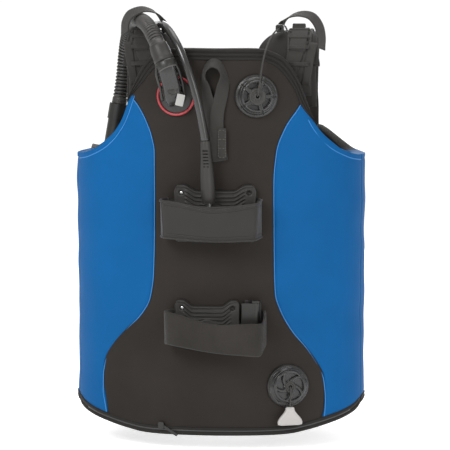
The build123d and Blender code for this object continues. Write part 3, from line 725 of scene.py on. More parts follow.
def build_hoses():
    line = even_line(route_line(CORRUGATED_ROUTE), RIB_PITCH / RIB_RINGS)
    total = length_of(line)

    def ribs(i, distance):
        phase = 2 * pi * distance / RIB_PITCH
        crest = 0.5 + 0.5 * cos(phase)
        plain = smooth_step((min(distance, total - distance) - 6) / 6)
        grow = 1 - 0.2 * plain * (1 - crest**0.5)
        return grow, grow

    hose = sweep("corrugated_hose_rubber", line, round_profile(HOSE_RADIUS, HOSE_SIDES), size=ribs)
    dress(hose, "rubber", HOSE_RUBBER, "corrugated_hose")
    # Faces in the grooves between the ribs get the near-black material: painted shade in the recesses.
    hose.data.materials.append(PAINTED_RECESS_SHADE)
    for face in hose.data.polygons:
        ring = face.index // HOSE_SIDES
        if ring % RIB_RINGS in SHADED_GROOVE_RINGS and 12 < ring * RIB_PITCH / RIB_RINGS < total - 12:
            face.material_index = 1
    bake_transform(hose)
    Vector(CORRUGATED_ROUTE[0]) * MM
    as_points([p * MM for p in line[::4]] + [line[-1] * MM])

    lp_line = even_line(route_line(LP_ROUTE), 4.0)
    lp = sweep("lp_hose_rubber", lp_line, round_profile(LP_RADIUS, 20))
    dress(lp, "rubber", GLOSS_HOSE, "lp_hose")
    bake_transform(lp)
    return lp, lp_line


def build_pull_cords():
    for name, route, body, stiffness, lay in (
        ("shoulder", SHOULDER_CORD_ROUTE, "vest", "limp", "loose"),
        ("lower", LOWER_CORD_ROUTE, "lower_knob", "medium", "hanging"),
    ):
        cord = route_curve(f"{name}_pull_line", route, CORD_RADIUS)
        cord.data.materials.append(CORD_BRAID)
        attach(cord, body)
        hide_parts(f"{name}_pull_cord")
        Vector(route[0]) * MM
        round(length_of(route_line(route)) * MM, 3)


lp_hose, lp_line = build_hoses()
build_pull_cords()


# ---- outer cloth of the back ----
CLOTH_BACKING = 3.4
INNER_LIFT = -19.0
SIDE_CUT = HALF_ROUND - 30.0


def seam_drop(distance, width=7.0, depth=2.6):
    """How far the cloth lies below its face near a seam."""
    return depth * (1 - bump(distance / width))


def cloth_relief(x, y, z):
    """Slow swelling and soft creases of a fabric face, in millimetres."""
    side_wave = smooth_step((abs(x) - 165) / 40) * 2.2 * wobble(x / 6, y / 4, z, 46.0, 3.1)
    return 1.5 * wobble(x, y, z, 120.0, 1.3) + 0.5 * wobble(x, y, z * 0.55, 36.0, 6.3) + side_wave


def relief_at(s, z, shift=0.0):
    x, y, _, _ = oval(s)
    return cloth_relief(x, y + shift, z)


def face_lift(s, z, edge):
    return 0.7 + relief_at(s, z) - seam_drop(edge)


def backing_lift(s, z, edge):
    return -CLOTH_BACKING


def jacket_slab(name, columns, rows, place, outer, inner, side=1):
    """Slab over the jacket: place(u, v) gives s, z and the edge's distance, outer and inner give the lifts."""

    def surface(lift):
        def point(u, v):
            s, z, edge = place(u, v)
            return on_jacket(side * s, z, lift(side * s, z, edge))

        return point

    def metric(u, v):
        s, z, _ = place(u, v)
        return side * s, z

    obj = slab(name, columns, rows, surface(outer), surface(inner), metric)
    if side < 0:
        obj.data.flip_normals()
    return obj


def build_centre_panel():
    low, high = 6.0, NECK_Z - 3.0

    def place(u, v):
        z0 = low + (high - low) * v
        side = 1 if u > 0.5 else -1
        half = panel_half(z0, side) if z0 < 497 else top_half(z0) - 3.0
        s = (2 * u - 1) * half
        bottom = hem_z(s) + 6
        z = bottom + (high - bottom) * v
        return s, z, min(half - abs(s), z - bottom, high - z)

    panel = jacket_slab("centre_panel_cloth", 96, 190, place, face_lift, backing_lift)
    finish_piece(panel, "black_fabric", BLACK_CLOTH, "centre_panel")
    heights = [16 + 476 * k / 89 for k in range(90)]
    for side, side_name in ((-1, "left"), (1, "right")):
        edge = [(side * panel_half(z, side), z) for z in heights]
        line = [on_jacket(s, z, 0.7 + relief_at(s, z) - 1.1) for s, z in edge]
        # The seam's lighter blue is a painted highlight along the panel's edge.
        seam = sweep(f"panel_seam_{side_name}", line, round_profile(0.8, 8), [normal_at(s) for s, _ in edge])
        finish_piece(seam, "blue_fabric", SEAM_HIGHLIGHT_CLOTH)


def build_side_panel(side, side_name):
    def place(u, v):
        z0 = 8.0 + (496.0 - 8.0) * v
        inner_edge = panel_half(z0, side)
        above = min(SIDE_CUT, top_half(max(z0, ARMHOLE_Z + 3)) - 1.0)
        t = smooth_step((z0 - ARMHOLE_Z + 4) / 7)
        outer_edge = max(SIDE_CUT + (above - SIDE_CUT) * t, inner_edge + 0.6)
        s = inner_edge + (outer_edge - inner_edge) * u
        bottom = hem_z(s) + 8
        z = z0 + (bottom - 8.0) * (1 - smooth_step(v / 0.35))
        return s, z, min(s - inner_edge, z - bottom, max(0.0, top_z(s) - z))

    panel = jacket_slab(f"{side_name}_back_cloth", 60, 170, place, face_lift, backing_lift, side)
    finish_piece(panel, "blue_fabric", BLUE_CLOTH, f"{side_name}_back_panel")


def build_back_lining():
    """Inside of the back: the bladder's lining over the air cell."""

    def place(u, v):
        s = (2 * u - 1) * SIDE_CUT
        low, high = hem_z(s) + 4, top_z(s) - 4
        return s, low + (high - low) * v, 0.0

    def outer(s, z, edge):
        return -CLOTH_BACKING - 0.05

    def inner(s, z, edge):
        return INNER_LIFT + relief_at(s, z, 40)

    lining = jacket_slab("back_lining", 90, 90, place, outer, inner)
    finish_piece(lining, "bladder", LINING_CLOTH, "back_air_cell")


# ---- edge bands: thick folded bindings with rows of ridges ----
def edge_points(line, inset, side=1, lift=0.0):
    """Surface points and normals along a line of (s, z) that is moved inset to its right."""
    points, ups = [], []
    for i, (s, z) in enumerate(line):
        s0, z0 = line[max(0, i - 1)]
        s1, z1 = line[min(len(line) - 1, i + 1)]
        length = sqrt((s1 - s0) ** 2 + (z1 - z0) ** 2)
        shift = inset[i] if isinstance(inset, list) else inset
        s, z = s + (z1 - z0) / length * shift, z - (s1 - s0) / length * shift
        points.append(on_jacket(side * s, z, lift))
        ups.append(normal_at(side * s))
    return points, ups


def ridge_profile(width, ridges, height, low):
    """Section of an edge band: ridges on its outer face and a rounded back."""
    profile = []
    for k in range(8 * ridges + 1):
        t = k / (8 * ridges)
        crown = height * abs(sin(pi * ridges * t)) ** 0.6
        edge = 2.2 * (1 - bump(min(t, 1 - t) / 0.12))
        profile.append(((t - 0.5) * width, 0.9 + crown - edge))
    for k in range(5):
        t = pi * k / 4
        profile.append((width / 2 * cos(t) * 0.96, low - 1.6 * sin(t)))
    return profile


def smooth_line(points, steps):
    return [(p.x, p.z) for p in catmull([(x, 0, z) for x, z in points], steps)]


def mirrored(half):
    return [(-s, z) for s, z in reversed(half)][:-1] + half


# Heights from which the black neck band replaces the blue roll, and to which the roll runs, by side.
NECK_BAND_FROM = {-1: 484, 1: 452}
ROLL_TO = {-1: 500, 1: 468}
NECK_BAND_WIDTH = 12
RIM_FOOT_Z = 35


def build_edge_bands():
    top = edge_table(TOP_LINE[:-1]) + [(SIDE_CUT, ARMHOLE_Z)]
    line = mirrored(smooth_line(top, 5))
    black = [(s, z) for s, z in line if z > NECK_BAND_FROM[-1 if s < 0 else 1]]
    widths = []
    for s, z in black:
        taper = smooth_step((z - NECK_BAND_FROM[-1 if s < 0 else 1]) / 40)
        widths.append((NECK_BAND_WIDTH + 6 * smooth_step((z - 500) / 50)) * (0.12 + 0.88 * taper))
    points, ups = edge_points(black, [w / 2 - 0.6 for w in widths])
    section = ridge_profile(NECK_BAND_WIDTH, 3, 2.2, INNER_LIFT)
    band = sweep("neck_band", points, section, ups, size=lambda i, d: (widths[i] / NECK_BAND_WIDTH, 1.0))
    finish_piece(band, "black_fabric", BINDING_CLOTH, "neck_binding")
    for side, side_name in ((-1, "left"), (1, "right")):
        edge = [(s, z) for s, z in line if s * side > 0 and z < ROLL_TO[side]]
        points, ups = edge_points(edge, 3.4)
        roll = sweep(f"{side_name}_armhole_roll", points, ridge_profile(7.5, 1, 0.5, INNER_LIFT), ups)
        finish_piece(roll, "blue_fabric", BLUE_CLOTH)
        points, ups = edge_points(edge, 7.6, lift=0.9)
        # The seam's lighter blue is a painted highlight along the armhole's edge.
        seam = sweep(f"{side_name}_armhole_seam", points, round_profile(0.7, 8), ups)
        finish_piece(seam, "blue_fabric", SEAM_HIGHLIGHT_CLOTH)

    bottom = edge_table(HEM_EDGE[:-2]) + [(SIDE_CUT, RIM_FOOT_Z)]
    line = mirrored(smooth_line(bottom, 5))
    points, ups = edge_points(line, -5.5)
    band = sweep("hem_band_cloth", points, ridge_profile(13, 2, 1.5, INNER_LIFT), ups)
    finish_piece(band, "black_fabric", BINDING_CLOTH, "hem_band")
    zip_line = [(s, z) for s, z in line if abs(s) < 215]
    points, ups = edge_points(zip_line, -6.5)
    points = [p + up * 1.6 for p, up in zip(points, ups)]
    tape = sweep("hem_zip_teeth", points, [(-1.2, -0.6), (1.2, -0.6), (1.2, 0.5), (-1.2, 0.5)], ups)
    finish_piece(tape, "grey_plastic", ZIP_PLASTIC)


# ---- front lobes ----
LOBE_FRONT = [
    (6, 110), (12, 82), (20, 66), (40, 54), (70, 46), (330, 46), (370, 52), (405, 60), (425, 71),
    (441, 90),
]
LOBE_TOP = [(211, 405), (204, 405.5), (192, 408), (178, 417), (163, 428), (150, 437), (136, 441), (80, 441)]
LOBE_BOTTOM = [(211, 41), (204, 33), (195, 24), (180, 18), (160, 12), (110, 6), (84, 11), (66, 21), (46, 62)]
SWING = {"left": -1, "right": 1}


def front_arc(x):
    return FULL_ROUND - arc_at(x)


LOBE_FRONT_BY_ARC = [(z, front_arc(x)) for z, x in LOBE_FRONT]


def blend_lobe(obj, side_name, slot, material, *replaces):
    """Cloth that crosses a lobe's hinge: it gets its material, the CAD parts it replaces are hidden, and its
    placement is baked into its mesh.
    """
    dress(obj, slot, material, *replaces)
    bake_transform(obj)


def build_lobe(side_name):
    side = SWING[side_name]
    tops = [(front_arc(x), z) for x, z in LOBE_TOP]
    bottoms = [(front_arc(x), z) for x, z in LOBE_BOTTOM]

    def place(u, v):
        z0 = 6 + 435 * v
        s = SIDE_CUT + (along(LOBE_FRONT_BY_ARC, z0) - SIDE_CUT) * u
        low, high = along(bottoms, s), along(tops, s)
        z = low + (high - low) * v
        edge = min((1 - u) * 150, z - low, high - z)
        return s, z, edge

    def layer(lift, depth, width, waves):
        def lift_at(s, z, edge):
            return lift + (relief_at(s, z) if waves else 0.0) + depth * (1 - bump(edge / width))

        return lift_at

    face, backing = layer(0.7, -8.5, 12, True), layer(-3.4, -4.9, 12, False)
    outer = jacket_slab(f"{side_name}_lobe_cloth", 60, 110, place, face, backing, side)
    face, backing = layer(-3.45, -4.9, 12, False), layer(INNER_LIFT, 10.5, 14, True)
    inner = jacket_slab(f"{side_name}_lobe_lining", 60, 110, place, face, backing, side)
    blend_lobe(outer, side_name, "blue_fabric", BLUE_CLOTH, f"{side_name}_lobe_panel")
    blend_lobe(inner, side_name, "bladder", LINING_CLOTH, f"{side_name}_lobe_cell")

    corner = smooth_line([(s, z) for z, s in reversed(LOBE_FRONT_BY_ARC)], 6)[4:-4]
    head = [(SIDE_CUT + 6 * k, ARMHOLE_Z) for k in range(5)] + smooth_line(tops, 6)[1:-4]
    foot = smooth_line(bottoms, 6)[::-1][4:-1]
    foot += [(SIDE_CUT + 6 * k, RIM_FOOT_Z + 1.3 * k) for k in range(4, -1, -1)]
    turn = SIDE_CUT + 75
    rolled, folded = ridge_profile(7.5, 1, 0.5, INNER_LIFT), ridge_profile(10, 2, 1.6, INNER_LIFT)
    sweeps = (
        ("armhole", [p for p in head if p[0] <= turn + 3], 3.4, rolled, "blue_fabric", BLUE_CLOTH),
        ("lobe", [p for p in head if p[0] > turn] + corner + foot, 4.6, folded, "black_fabric", BINDING_CLOTH),
    )
    for part, line, inset, section, slot, material in sweeps:
        rim = [line[0]]
        for point in line:
            if abs(point[0] - rim[-1][0]) + abs(point[1] - rim[-1][1]) > 2.5:
                rim.append(point)
        points, ups = edge_points(rim, inset, side=side)
        binding = sweep(f"{side_name}_{part}_binding", points, section, ups)
        blend_lobe(binding, side_name, slot, material)


def build_lobe_details(side_name):
    side = SWING[side_name]
    body = f"{side_name}_lobe"
    left, right, low, high = front_arc(172), front_arc(72), 118.0, 262.0

    def place(u, v):
        return left + (right - left) * u, low + (high - low) * v

    def edge_of(u, v):
        return min(u * (right - left), (1 - u) * (right - left), v * (high - low), (1 - v) * (high - low))

    def outer(u, v):
        s, z = place(u, v)
        x, y, _, _ = oval(s)
        edge = edge_of(u, v)
        puff = 0.8 + 13.5 * bump(edge / 26) + 0.8 * wobble(x, y, z, 30.0, 9.0) * bump(edge / 15)
        return on_jacket(side * s, z, puff)

    def inner(u, v):
        s, z = place(u, v)
        return on_jacket(side * s, z, -1.5)

    pocket = slab(f"{side_name}_pocket_cloth", 50, 60, outer, inner, place)
    if side < 0:
        pocket.data.flip_normals()
    finish_piece(pocket, "black_fabric", BLACK_CLOTH, f"{side_name}_pocket", body=body)
    points, ups = [], []
    for k in range(3, 38):
        s, z = place(k / 40, 0.8)
        points.append(on_jacket(side * s, z, 1.0 + 13.7 * bump(edge_of(k / 40, 0.8) / 26)))
        ups.append(normal_at(side * s))
    zipper = sweep(f"{side_name}_pocket_zip", points, [(-2.6, -0.6), (2.6, -0.6), (2, 0.7), (-2, 0.7)], ups)
    finish_piece(zipper, "grey_plastic", ZIP_PLASTIC, body=body)

    line = [front_arc(31 + (118 - 31) * k / 24) for k in range(25)]
    strap = sweep(
        f"{side_name}_waist_strap",
        [on_jacket(side * s, 71, 1.9) for s in line],
        strap_profile(50, 2.2),
        [normal_at(side * s) for s in line],
    )
    s_ring = side * front_arc(76)
    out, up = normal_at(s_ring), Vector((0, 0, 1))
    middle = on_jacket(s_ring, 372, 4.0)
    ring_path = []
    for k in range(17):
        t = -0.35 * pi + 1.7 * pi * k / 16
        ring_path.append(middle + out * (3.3 * cos(t)) + up * (3.3 * sin(t)))
    tail = [on_jacket(s_ring, 372 + 4 + 26 * k / 4, 1.8) for k in range(5)]
    tab_path = ring_path[::-1] + tail[1:]
    tab = sweep(f"{side_name}_ring_tab", tab_path, strap_profile(18, 1.3), up.cross(out).cross(up))
    webbing = join(f"{side_name}_lobe_straps", [strap, tab])
    finish_piece(webbing, "webbing", WEBBING, f"{side_name}_lobe_webbing", body=body)


# ---- padding against the wearer ----
def build_back_pad():
    half, low, high, corner = arc_at(94.0), 61, 461, 40

    def place(u, v):
        s, z = half * (2 * u - 1), low + 400 * v
        across, upward = half - abs(s), min(z - low, high - z)
        dx, dz = max(0.0, corner - across), max(0.0, corner - upward)
        edge = max(0.0, corner - sqrt(dx * dx + dz * dz)) if dx and dz else min(across, upward)
        return s, z, edge

    def outer(s, z, edge):
        return -30.0 + max(0.2, 6.0 * bump(edge / 16))

    def inner(s, z, edge):
        channels = 2.2 * exp(-(((z - 150) / 5) ** 2)) + 2.2 * exp(-(((z - 330) / 5) ** 2))
        return -30.0 - max(0.2, 6.0 * bump(edge / 16) - channels)

    pad = jacket_slab("back_pad_mesh", 60, 110, place, outer, inner)
    finish_piece(pad, "foam_pad", MESH_CLOTH, "back_pad")


# ---- ribbed tank pads ----
def build_tank_pad(name, left, right, low, high):
    middle = (left + right) / 2
    half = (right - left) / 2

    def top(x):
        t = abs(x - middle) / half
        return high - 9 * (1 - smooth_step((t - 0.42) / 0.34)) - 10 * max(0.0, (t - 0.88) / 0.12) ** 2

    def place(u, v):
        x = left + (right - left) * u
        t = abs(x - middle) / half
        bottom = low + 8 * max(0.0, (t - 0.9) / 0.1) ** 2
        return x, bottom + (top(x) - bottom) * v

    def outer(u, v):
        x, z = place(u, v)
        t = abs(x - middle) / half
        edge = min((1 - abs(2 * u - 1)) * half, v * (high - low), (1 - v) * (high - low))
        below = top(x) - z
        rib = 2.3 * max(0.0, sin(2 * pi * (below - 7) / 5.6)) ** 0.7 if below > 7 else 0.0
        rib *= 1 - smooth_step((t - 0.66) / 0.08)
        disc = sqrt((x - middle) ** 2 + (z - high + 46) ** 2)
        if disc < 19:
            rib = 2.6 if disc < 17 else 0.6
        border = 1.2 * exp(-(((edge - 2.2) / 1.6) ** 2))
        ear = sqrt((abs(x - middle) - half + 11) ** 2 + (z - high + 12) ** 2)
        hole = 4.5 * exp(-((ear / 3.2) ** 4))
        lift = 4.5 + 4.6 * bump(edge / 2.5) + rib + border - hole
        return on_jacket(arc_at(x), z, lift)

    def inner(u, v):
        x, z = place(u, v)
        return on_jacket(arc_at(x), z, 1.0)

    pad = slab(name + "_rubber", 150, 110, outer, inner, place)
    finish_piece(pad, "rubber", RUBBER, name)
    rivet_profile = [(0, 6), (2.6, 6), (2.6, 7.6), (1.8, 8.4), (0, 8.6)]
    rivet = lathe(name + "_rivet", rivet_profile, jacket_frame(middle - half + 11, high - 12), sides=24)
    finish_piece(rivet, "steel", STEEL)


# ---- tank bands ----
BAND_PLAN = [
    (-10, -121.5), (-52, -118.5), (-67, -122), (-75, -136), (-73, -155), (-68, -166), (-42, -171.5),
    (0, -173.5), (42, -170.5), (67, -164.5), (72.5, -153), (75, -136), (67, -121.5), (52, -118),
    (-4, -121),
]


BAND_STEP = 3.0


def band_surface(plan, middle_z, width, sag, tilt, thickness, grow=0.0):
    """Outer and inner surfaces of a band whose edge runs along a plan curve."""
    path = even_line(catmull([(x, y, 0) for x, y in plan], 8), BAND_STEP)
    count = len(path) - 1
    normals = [direction_at(path, i).cross(Vector((0, 0, 1))).normalized() for i in range(count + 1)]

    def place(u):
        i = min(count - 1, int(u * count))
        t = u * count - i
        return path[i].lerp(path[i + 1], t), normals[i].lerp(normals[i + 1], t).normalized()

    def surface(offset):
        def point(u, v):
            p, n = place(u)
            back = smooth_step((-p.y - 135) / 32)
            z = middle_z + tilt(p.x) * back - sag * (0.4 + 1.2 * v) * back * exp(-((p.x / 45) ** 2))
            w = width / 2 * (2 * v - 1)
            edge = min(v, 1 - v) * width
            lean = 2.2 * (2 * v - 1) * back
            roll = (1 - bump(edge / 1.6)) * (offset - grow) * 0.9
            ripple = 0.7 * wobble(p.x, p.y, z + w, 40.0, 4.0) * back
            return p + n * (offset - roll + lean + ripple) + Vector((0, 0, z + w))

        return point

    def metric(u, v):
        return u * count * BAND_STEP, v * width

    return count, surface(grow + thickness / 2), surface(grow - thickness / 2), metric


def build_bands():
    upper_plan = [(-6 + 0.92 * x, y) for x, y in BAND_PLAN]
    lower_plan = [(0.97 * x, y) for x, y in BAND_PLAN]
    count, outer, inner, metric = band_surface(upper_plan, 320, 50, 3.0, lambda x: 0.0, 2.4)
    upper = slab("upper_band_webbing", count, 16, outer, inner, metric)
    finish_piece(upper, "webbing", WEBBING, "upper_tank_band")
    sleeve_plan = upper_plan[2:-2]
    surfaces = band_surface(sleeve_plan, 320, 57, 7.0, lambda x: -1.5 * x / 70, 1.6, grow=3.0)
    count, outer, inner, metric = surfaces
    sleeve = slab("upper_band_cover", count, 20, outer, inner, metric)
    trims = []
    for v, radius in ((0.035, 1.5), (0.965, 1.5), (0.14, 0.5), (0.86, 0.5)):
        line = [outer(k / 60, v) for k in range(61)]
        trims.append(sweep("trim", line, round_profile(radius, 8), Vector((0, 0, 1))))
    for u in (0.2, 0.8):
        line = [outer(u, 0.05 + 0.9 * k / 20) for k in range(21)]
        trims.append(sweep("trim", line, round_profile(0.7, 8), Vector((0, -1, 0))))
    cover = join("upper_band_sleeve_cloth", [sleeve] + trims)
    finish_piece(cover, "black_fabric", SLEEVE_CLOTH, "upper_band_sleeve")
    count, outer, inner, metric = band_surface(lower_plan, 160, 50, 6.0, lambda x: -9.0 * x / 70 - 5, 2.6)
    lower = slab("lower_band_webbing", count, 24, outer, inner, metric)
    finish_piece(lower, "webbing", BAND_WEBBING, "lower_tank_band")


# ---- valve strap ----
def build_valve_strap():
    path = catmull(
        [
            (8, -127.4, 402), (1, -127.8, 440), (-9, -128.2, 480), (-17, -129, 515), (-16, -133, 533),
            (-6, -136, 544), (6, -134.5, 540), (12, -132, 524), (9, -131, 502), (2, -130.8, 470),
            (2, -130.6, 435), (5, -130.4, 402),
        ],
        8,
    )
    ups = []
    for p in path:
        t = smooth_step((p.z - 505) / 30)
        radial = Vector((p.x * 0.05, -1, 0)).lerp(Vector((p.x / 9, -0.35, 0.9)), t * 0.75)
        ups.append(radial.normalized())
    strap = sweep("valve_strap_webbing", path, strap_profile(20, 1.8), ups)
    tip_plane = frame_at((9, -131.6, 428), (0, -1, 0), (1, 0, 0))
    tip = block("valve_strap_tip", tip_plane, rounded(13, 44, 2.5), 0.0, 1.2)
    rows = [stitches([(x, -133.2, 408), (x, -133.2, 447)], (0, -1, 0)) for x in (4, 14)]
    rows += [stitches([(4, -133.2, z), (14, -133.2, z)], (0, -1, 0)) for z in (408, 421, 434, 447)]
    strap = join("valve_strap_cloth", [strap, tip])
    finish_piece(strap, "webbing", WEBBING, "valve_strap")
    finish_piece(join("valve_strap_stitching", rows), "black_fabric", THREAD)


# ---- dump valves ----
def spoke_gap(petal, r):
    """Distance round the circle from the nearest spoke's middle."""
    return min(petal, 1 - petal) * 2 * pi / 5 * r


def valve_cap_height(style):
    hub, reach, wall, twist = (12.6, 20.4, 2.7, 0.0) if style == "upper" else (8.0, 20.6, 2.6, 0.05)

    def height(r, t):
        petal = ((t + twist * (r - 10)) / (2 * pi) * 5) % 1
        gap = spoke_gap(petal, r)
        if r < hub:
            return 14.2
        if r < reach:
            inside = smooth_step((gap - wall) / 0.7) * smooth_step(min(r - hub, reach - r) / 0.9)
            crown = 0.9 * (1 - smooth_step(gap / wall)) if twist else 0.0
            return 14.2 + crown - (5.0 if twist else 8.6) * inside
        dome = 14.4 - 8.2 * smooth_step((r - reach - 0.4) / 8.6)
        groove = 2.0 * exp(-((gap / 1.0) ** 2)) if not twist else 0.0
        flute = 1.4 * abs(sin(pi * petal)) * smooth_step((r - reach) / 4) if twist else 0.0
        step = 0.9 * exp(-(((r - reach - 4.2) / 0.6) ** 2))
        return dome - groove + flute - step

    return height


VALVE_TURN = 0.3
CAP_INNER, CAP_OUTER, CAP_RINGS, CAP_SIDES = 2.6, 29.3, 100, 200


def build_valve(name, x, z, style):
    plane = jacket_frame(x, z)
    height = valve_cap_height(style)
    profile = [(CAP_INNER + (CAP_OUTER - CAP_INNER) * i / CAP_RINGS, None) for i in range(CAP_RINGS + 1)]
    profile = [(CAP_INNER, 9.0)] + profile + [(CAP_OUTER, 4.0), (24.0, 3.6)]
    verts = []
    for r, h in profile:
        for k in range(CAP_SIDES):
            t = 2 * pi * k / CAP_SIDES + VALVE_TURN
            verts.append(plane @ Vector((r * cos(t), r * sin(t), height(r, t) if h is None else h)))
    faces = [(a, d, c, b) for a, b, c, d in ring_faces(len(profile), CAP_SIDES)[:-2]]
    cap = new_object(f"{name}_valve_cover", verts, faces)
    finish_piece(cap, "black_plastic", GLOSS_PLASTIC, f"{name}_valve_cap")
    skirt = lathe(
        f"{name}_valve_collar",
        [(12, 0.3), (31.2, 0.3), (31.6, 1.2), (31.2, 3.4), (30.0, 4.6), (27, 5.2), (12, 5.2)],
        plane,
        sides=120,
        wave=lambda i, t, r, h: (r + (0.35 * cos(60 * t) if 0 < i < 4 else 0.0), h),
    )
    finish_piece(skirt, "black_plastic", BLACK_PLASTIC, f"{name}_valve_base")
    size = 11.6 if style == "upper" else 7.6
    hub_profile = [(2.6, 13.5), (2.6, 15.6), (4.2, 15.6), (4.8, 15.1)]
    hub_profile += [(size - 2.2, 15.1), (size - 1.4, 15.7), (size, 15.3), (size, 13.5)]
    hub = lathe(
        f"{name}_valve_hub",
        hub_profile,
        plane,
        sides=160,
        wave=lambda i, t, r, h: (r, h - (0.45 if i in (3, 4) and int(t * 40 / pi) % 2 else 0.0)),
    )
    finish_piece(hub, "grey_plastic", HUB_PLASTIC)


# ---- elbow and cuffs ----
def build_elbow():
    foot = jacket_frame(-57, 496)
    base = lathe(
        "elbow_base",
        [(10, 0.3), (28.2, 0.3), (28.4, 3), (27.2, 5.4), (22.5, 6.4), (21, 7.4), (14, 8.6), (10, 8.6)],
        foot,
        sides=96,
    )
    finish_piece(base, "black_plastic", BLACK_PLASTIC, "elbow_flange")
    ring = lathe(
        "elbow_red_ring",
        [
            (25.4, 5.6), (27.9, 5.2), (28.6, 4.2), (28.9, 5.4), (28.2, 6.6), (26.6, 7.2), (25.4, 6.6),
            (25.4, 5.6),
        ],
        foot,
        sides=96,
    )
    finish_piece(ring, "red_trim", RED_PLASTIC, "elbow_ring")

    route = [foot @ Vector((-1, -7, 7)), foot @ Vector((-2, 2, 15))]
    route += [(-63.5, -139, 512), (-68, -145.5, 530), (-71, -147.3, 543)]
    path = catmull(route, 8)
    box = rounded(25.2, 24, 5.0, 5.5, steps=6)
    count = len(path) - 1
    up = Vector((0.1, -1, 0.05))

    def swell(i, d):
        t = i / count
        return 0.78 + 0.22 * bump(t / 0.25) - 0.05 * smooth_step((t - 0.85) / 0.15), 0.8 + 0.2 * bump(t / 0.3)

    body = sweep("elbow_shell", path, box, up, size=swell)
    finish_piece(body, "black_plastic", GLOSS_PLASTIC, "elbow_body")
    rails = []
    for side in (-1, 1):
        rail = []
        for i in range(6, count + 1):
            across = direction_at(path, i).cross(up).normalized()
            bow = 16.4 - 2.6 * smooth_step((i - 0.72 * count) / (0.28 * count))
            rail.append(path[i] + across * (side * bow) + up.normalized() * 5.0)
        rails.append(sweep("rail", rail, [(2.1 * a, 3.4 * b) for a, b in round_profile(1, 12)], up))
        for i in (8, 15, 22, 28):
            tangent = direction_at(path, i)
            across = tangent.cross(up).normalized()
            spot = path[i] + across * (side * 13.6) + up.normalized() * 4.5
            plane = frame_at(spot, up, tangent)
            rails.append(block("bridge", plane, rounded(3.2, 6.0, 1.2), -3, 1.6))
    finish_piece(join("elbow_rails", rails), "black_plastic", BLACK_PLASTIC)
    boss_plane = frame_at(path[13] + up.normalized() * 12.0, up, path[16] - path[10])
    boss_profile = [(0, 0.9), (6.0, 0.9), (6.6, 0.5), (7.0, 1.0), (7.6, 1.0), (8.2, -0.8)]
    boss = lathe("elbow_boss", boss_profile, boss_plane, sides=48)
    finish_piece(boss, "black_plastic", BLACK_PLASTIC)
    tag_plane = frame_at(foot @ Vector((12.0, -4.5, 26.5)), Vector((0.12, -1, 0.1)), Vector((1, 0, -0.22)))
    tag = block("elbow_tag", tag_plane, rounded(11.5, 17, 1.0), 0, 0.8, bevel=0.3)
    finish_piece(tag, "pale_plastic", TAG_PAPER)


def build_hose_ends():
    start, end = Vector((-70, -147, 541)), Vector((-81, -140, 566))
    axis = (end - start).normalized()
    plane = frame_at(start, axis, (0, -1, 0))
    cuff = lathe(
        "hose_cuff",
        [
            (11, 6), (14.2, 6), (14.8, 8), (15.0, 12), (14.4, 13), (14.2, 24), (13.4, 29), (12.9, 33),
            (12.0, 34), (10.5, 34),
        ],
        plane,
        sides=64,
    )
    finish_piece(cuff, "rubber", RUBBER, "upper_hose_cuff")
    clamp = lathe(
        "cuff_clamp",
        [(13, -5), (15.4, -5), (15.9, -3.5), (15.9, 3.5), (15.4, 5.6), (13, 5.6)],
        plane,
        sides=72,
    )
    finish_piece(clamp, "black_plastic", BLACK_PLASTIC)
    grey = lathe("cuff_ring", [(13, -6.8), (15.0, -6.8), (15.5, -6), (15.0, -5.1), (13, -5.1)], plane, sides=72)
    finish_piece(grey, "grey_plastic", GREY_PLASTIC)

    start, end = Vector((-14, -150, 432)), Vector((-9.5, -149, 353))
    plane = frame_at(start, end - start, (0, -1, 0))
    profile = [
        (5.6, -1), (6.8, -1), (7.2, 0.4), (7.4, 10), (8.0, 24), (8.6, 30), (9.4, 40), (10.2, 56),
        (10.4, 68), (10.2, 80), (9.4, 88), (8.4, 89.5), (5, 89.5),
    ]
    boot = lathe("lp_hose_boot_rubber", profile, plane, sides=48)
    parts = []
    # Near-black blocks at the boot's slots: painted shade in the slots.
    for k in range(6):
        spot = plane @ Vector((7.3 + 0.02 * k, 0, 13 + 4.6 * k))
        slot_plane = frame_at(spot, (0, -1, 0), (1, 0, 0))
        parts.append(block("slot", slot_plane, rounded(8.0, 1.9, 0.8), -2.0, 1.1 + 0.1 * k))
    finish_piece(boot, "rubber", RUBBER, "lp_hose_boot")
    finish_piece(join("lp_boot_slot_shade", parts), "rubber", PAINTED_RECESS_SHADE)


# ---- shoulders ----
SHOULDER_SIDE = [
    (-62, 478), (-70, 512), (-75, 540), (-67, 562), (-48, 577), (-20, 580), (10, 580), (34, 577),
    (58, 561), (74, 540), (84, 515), (90, 492),
]


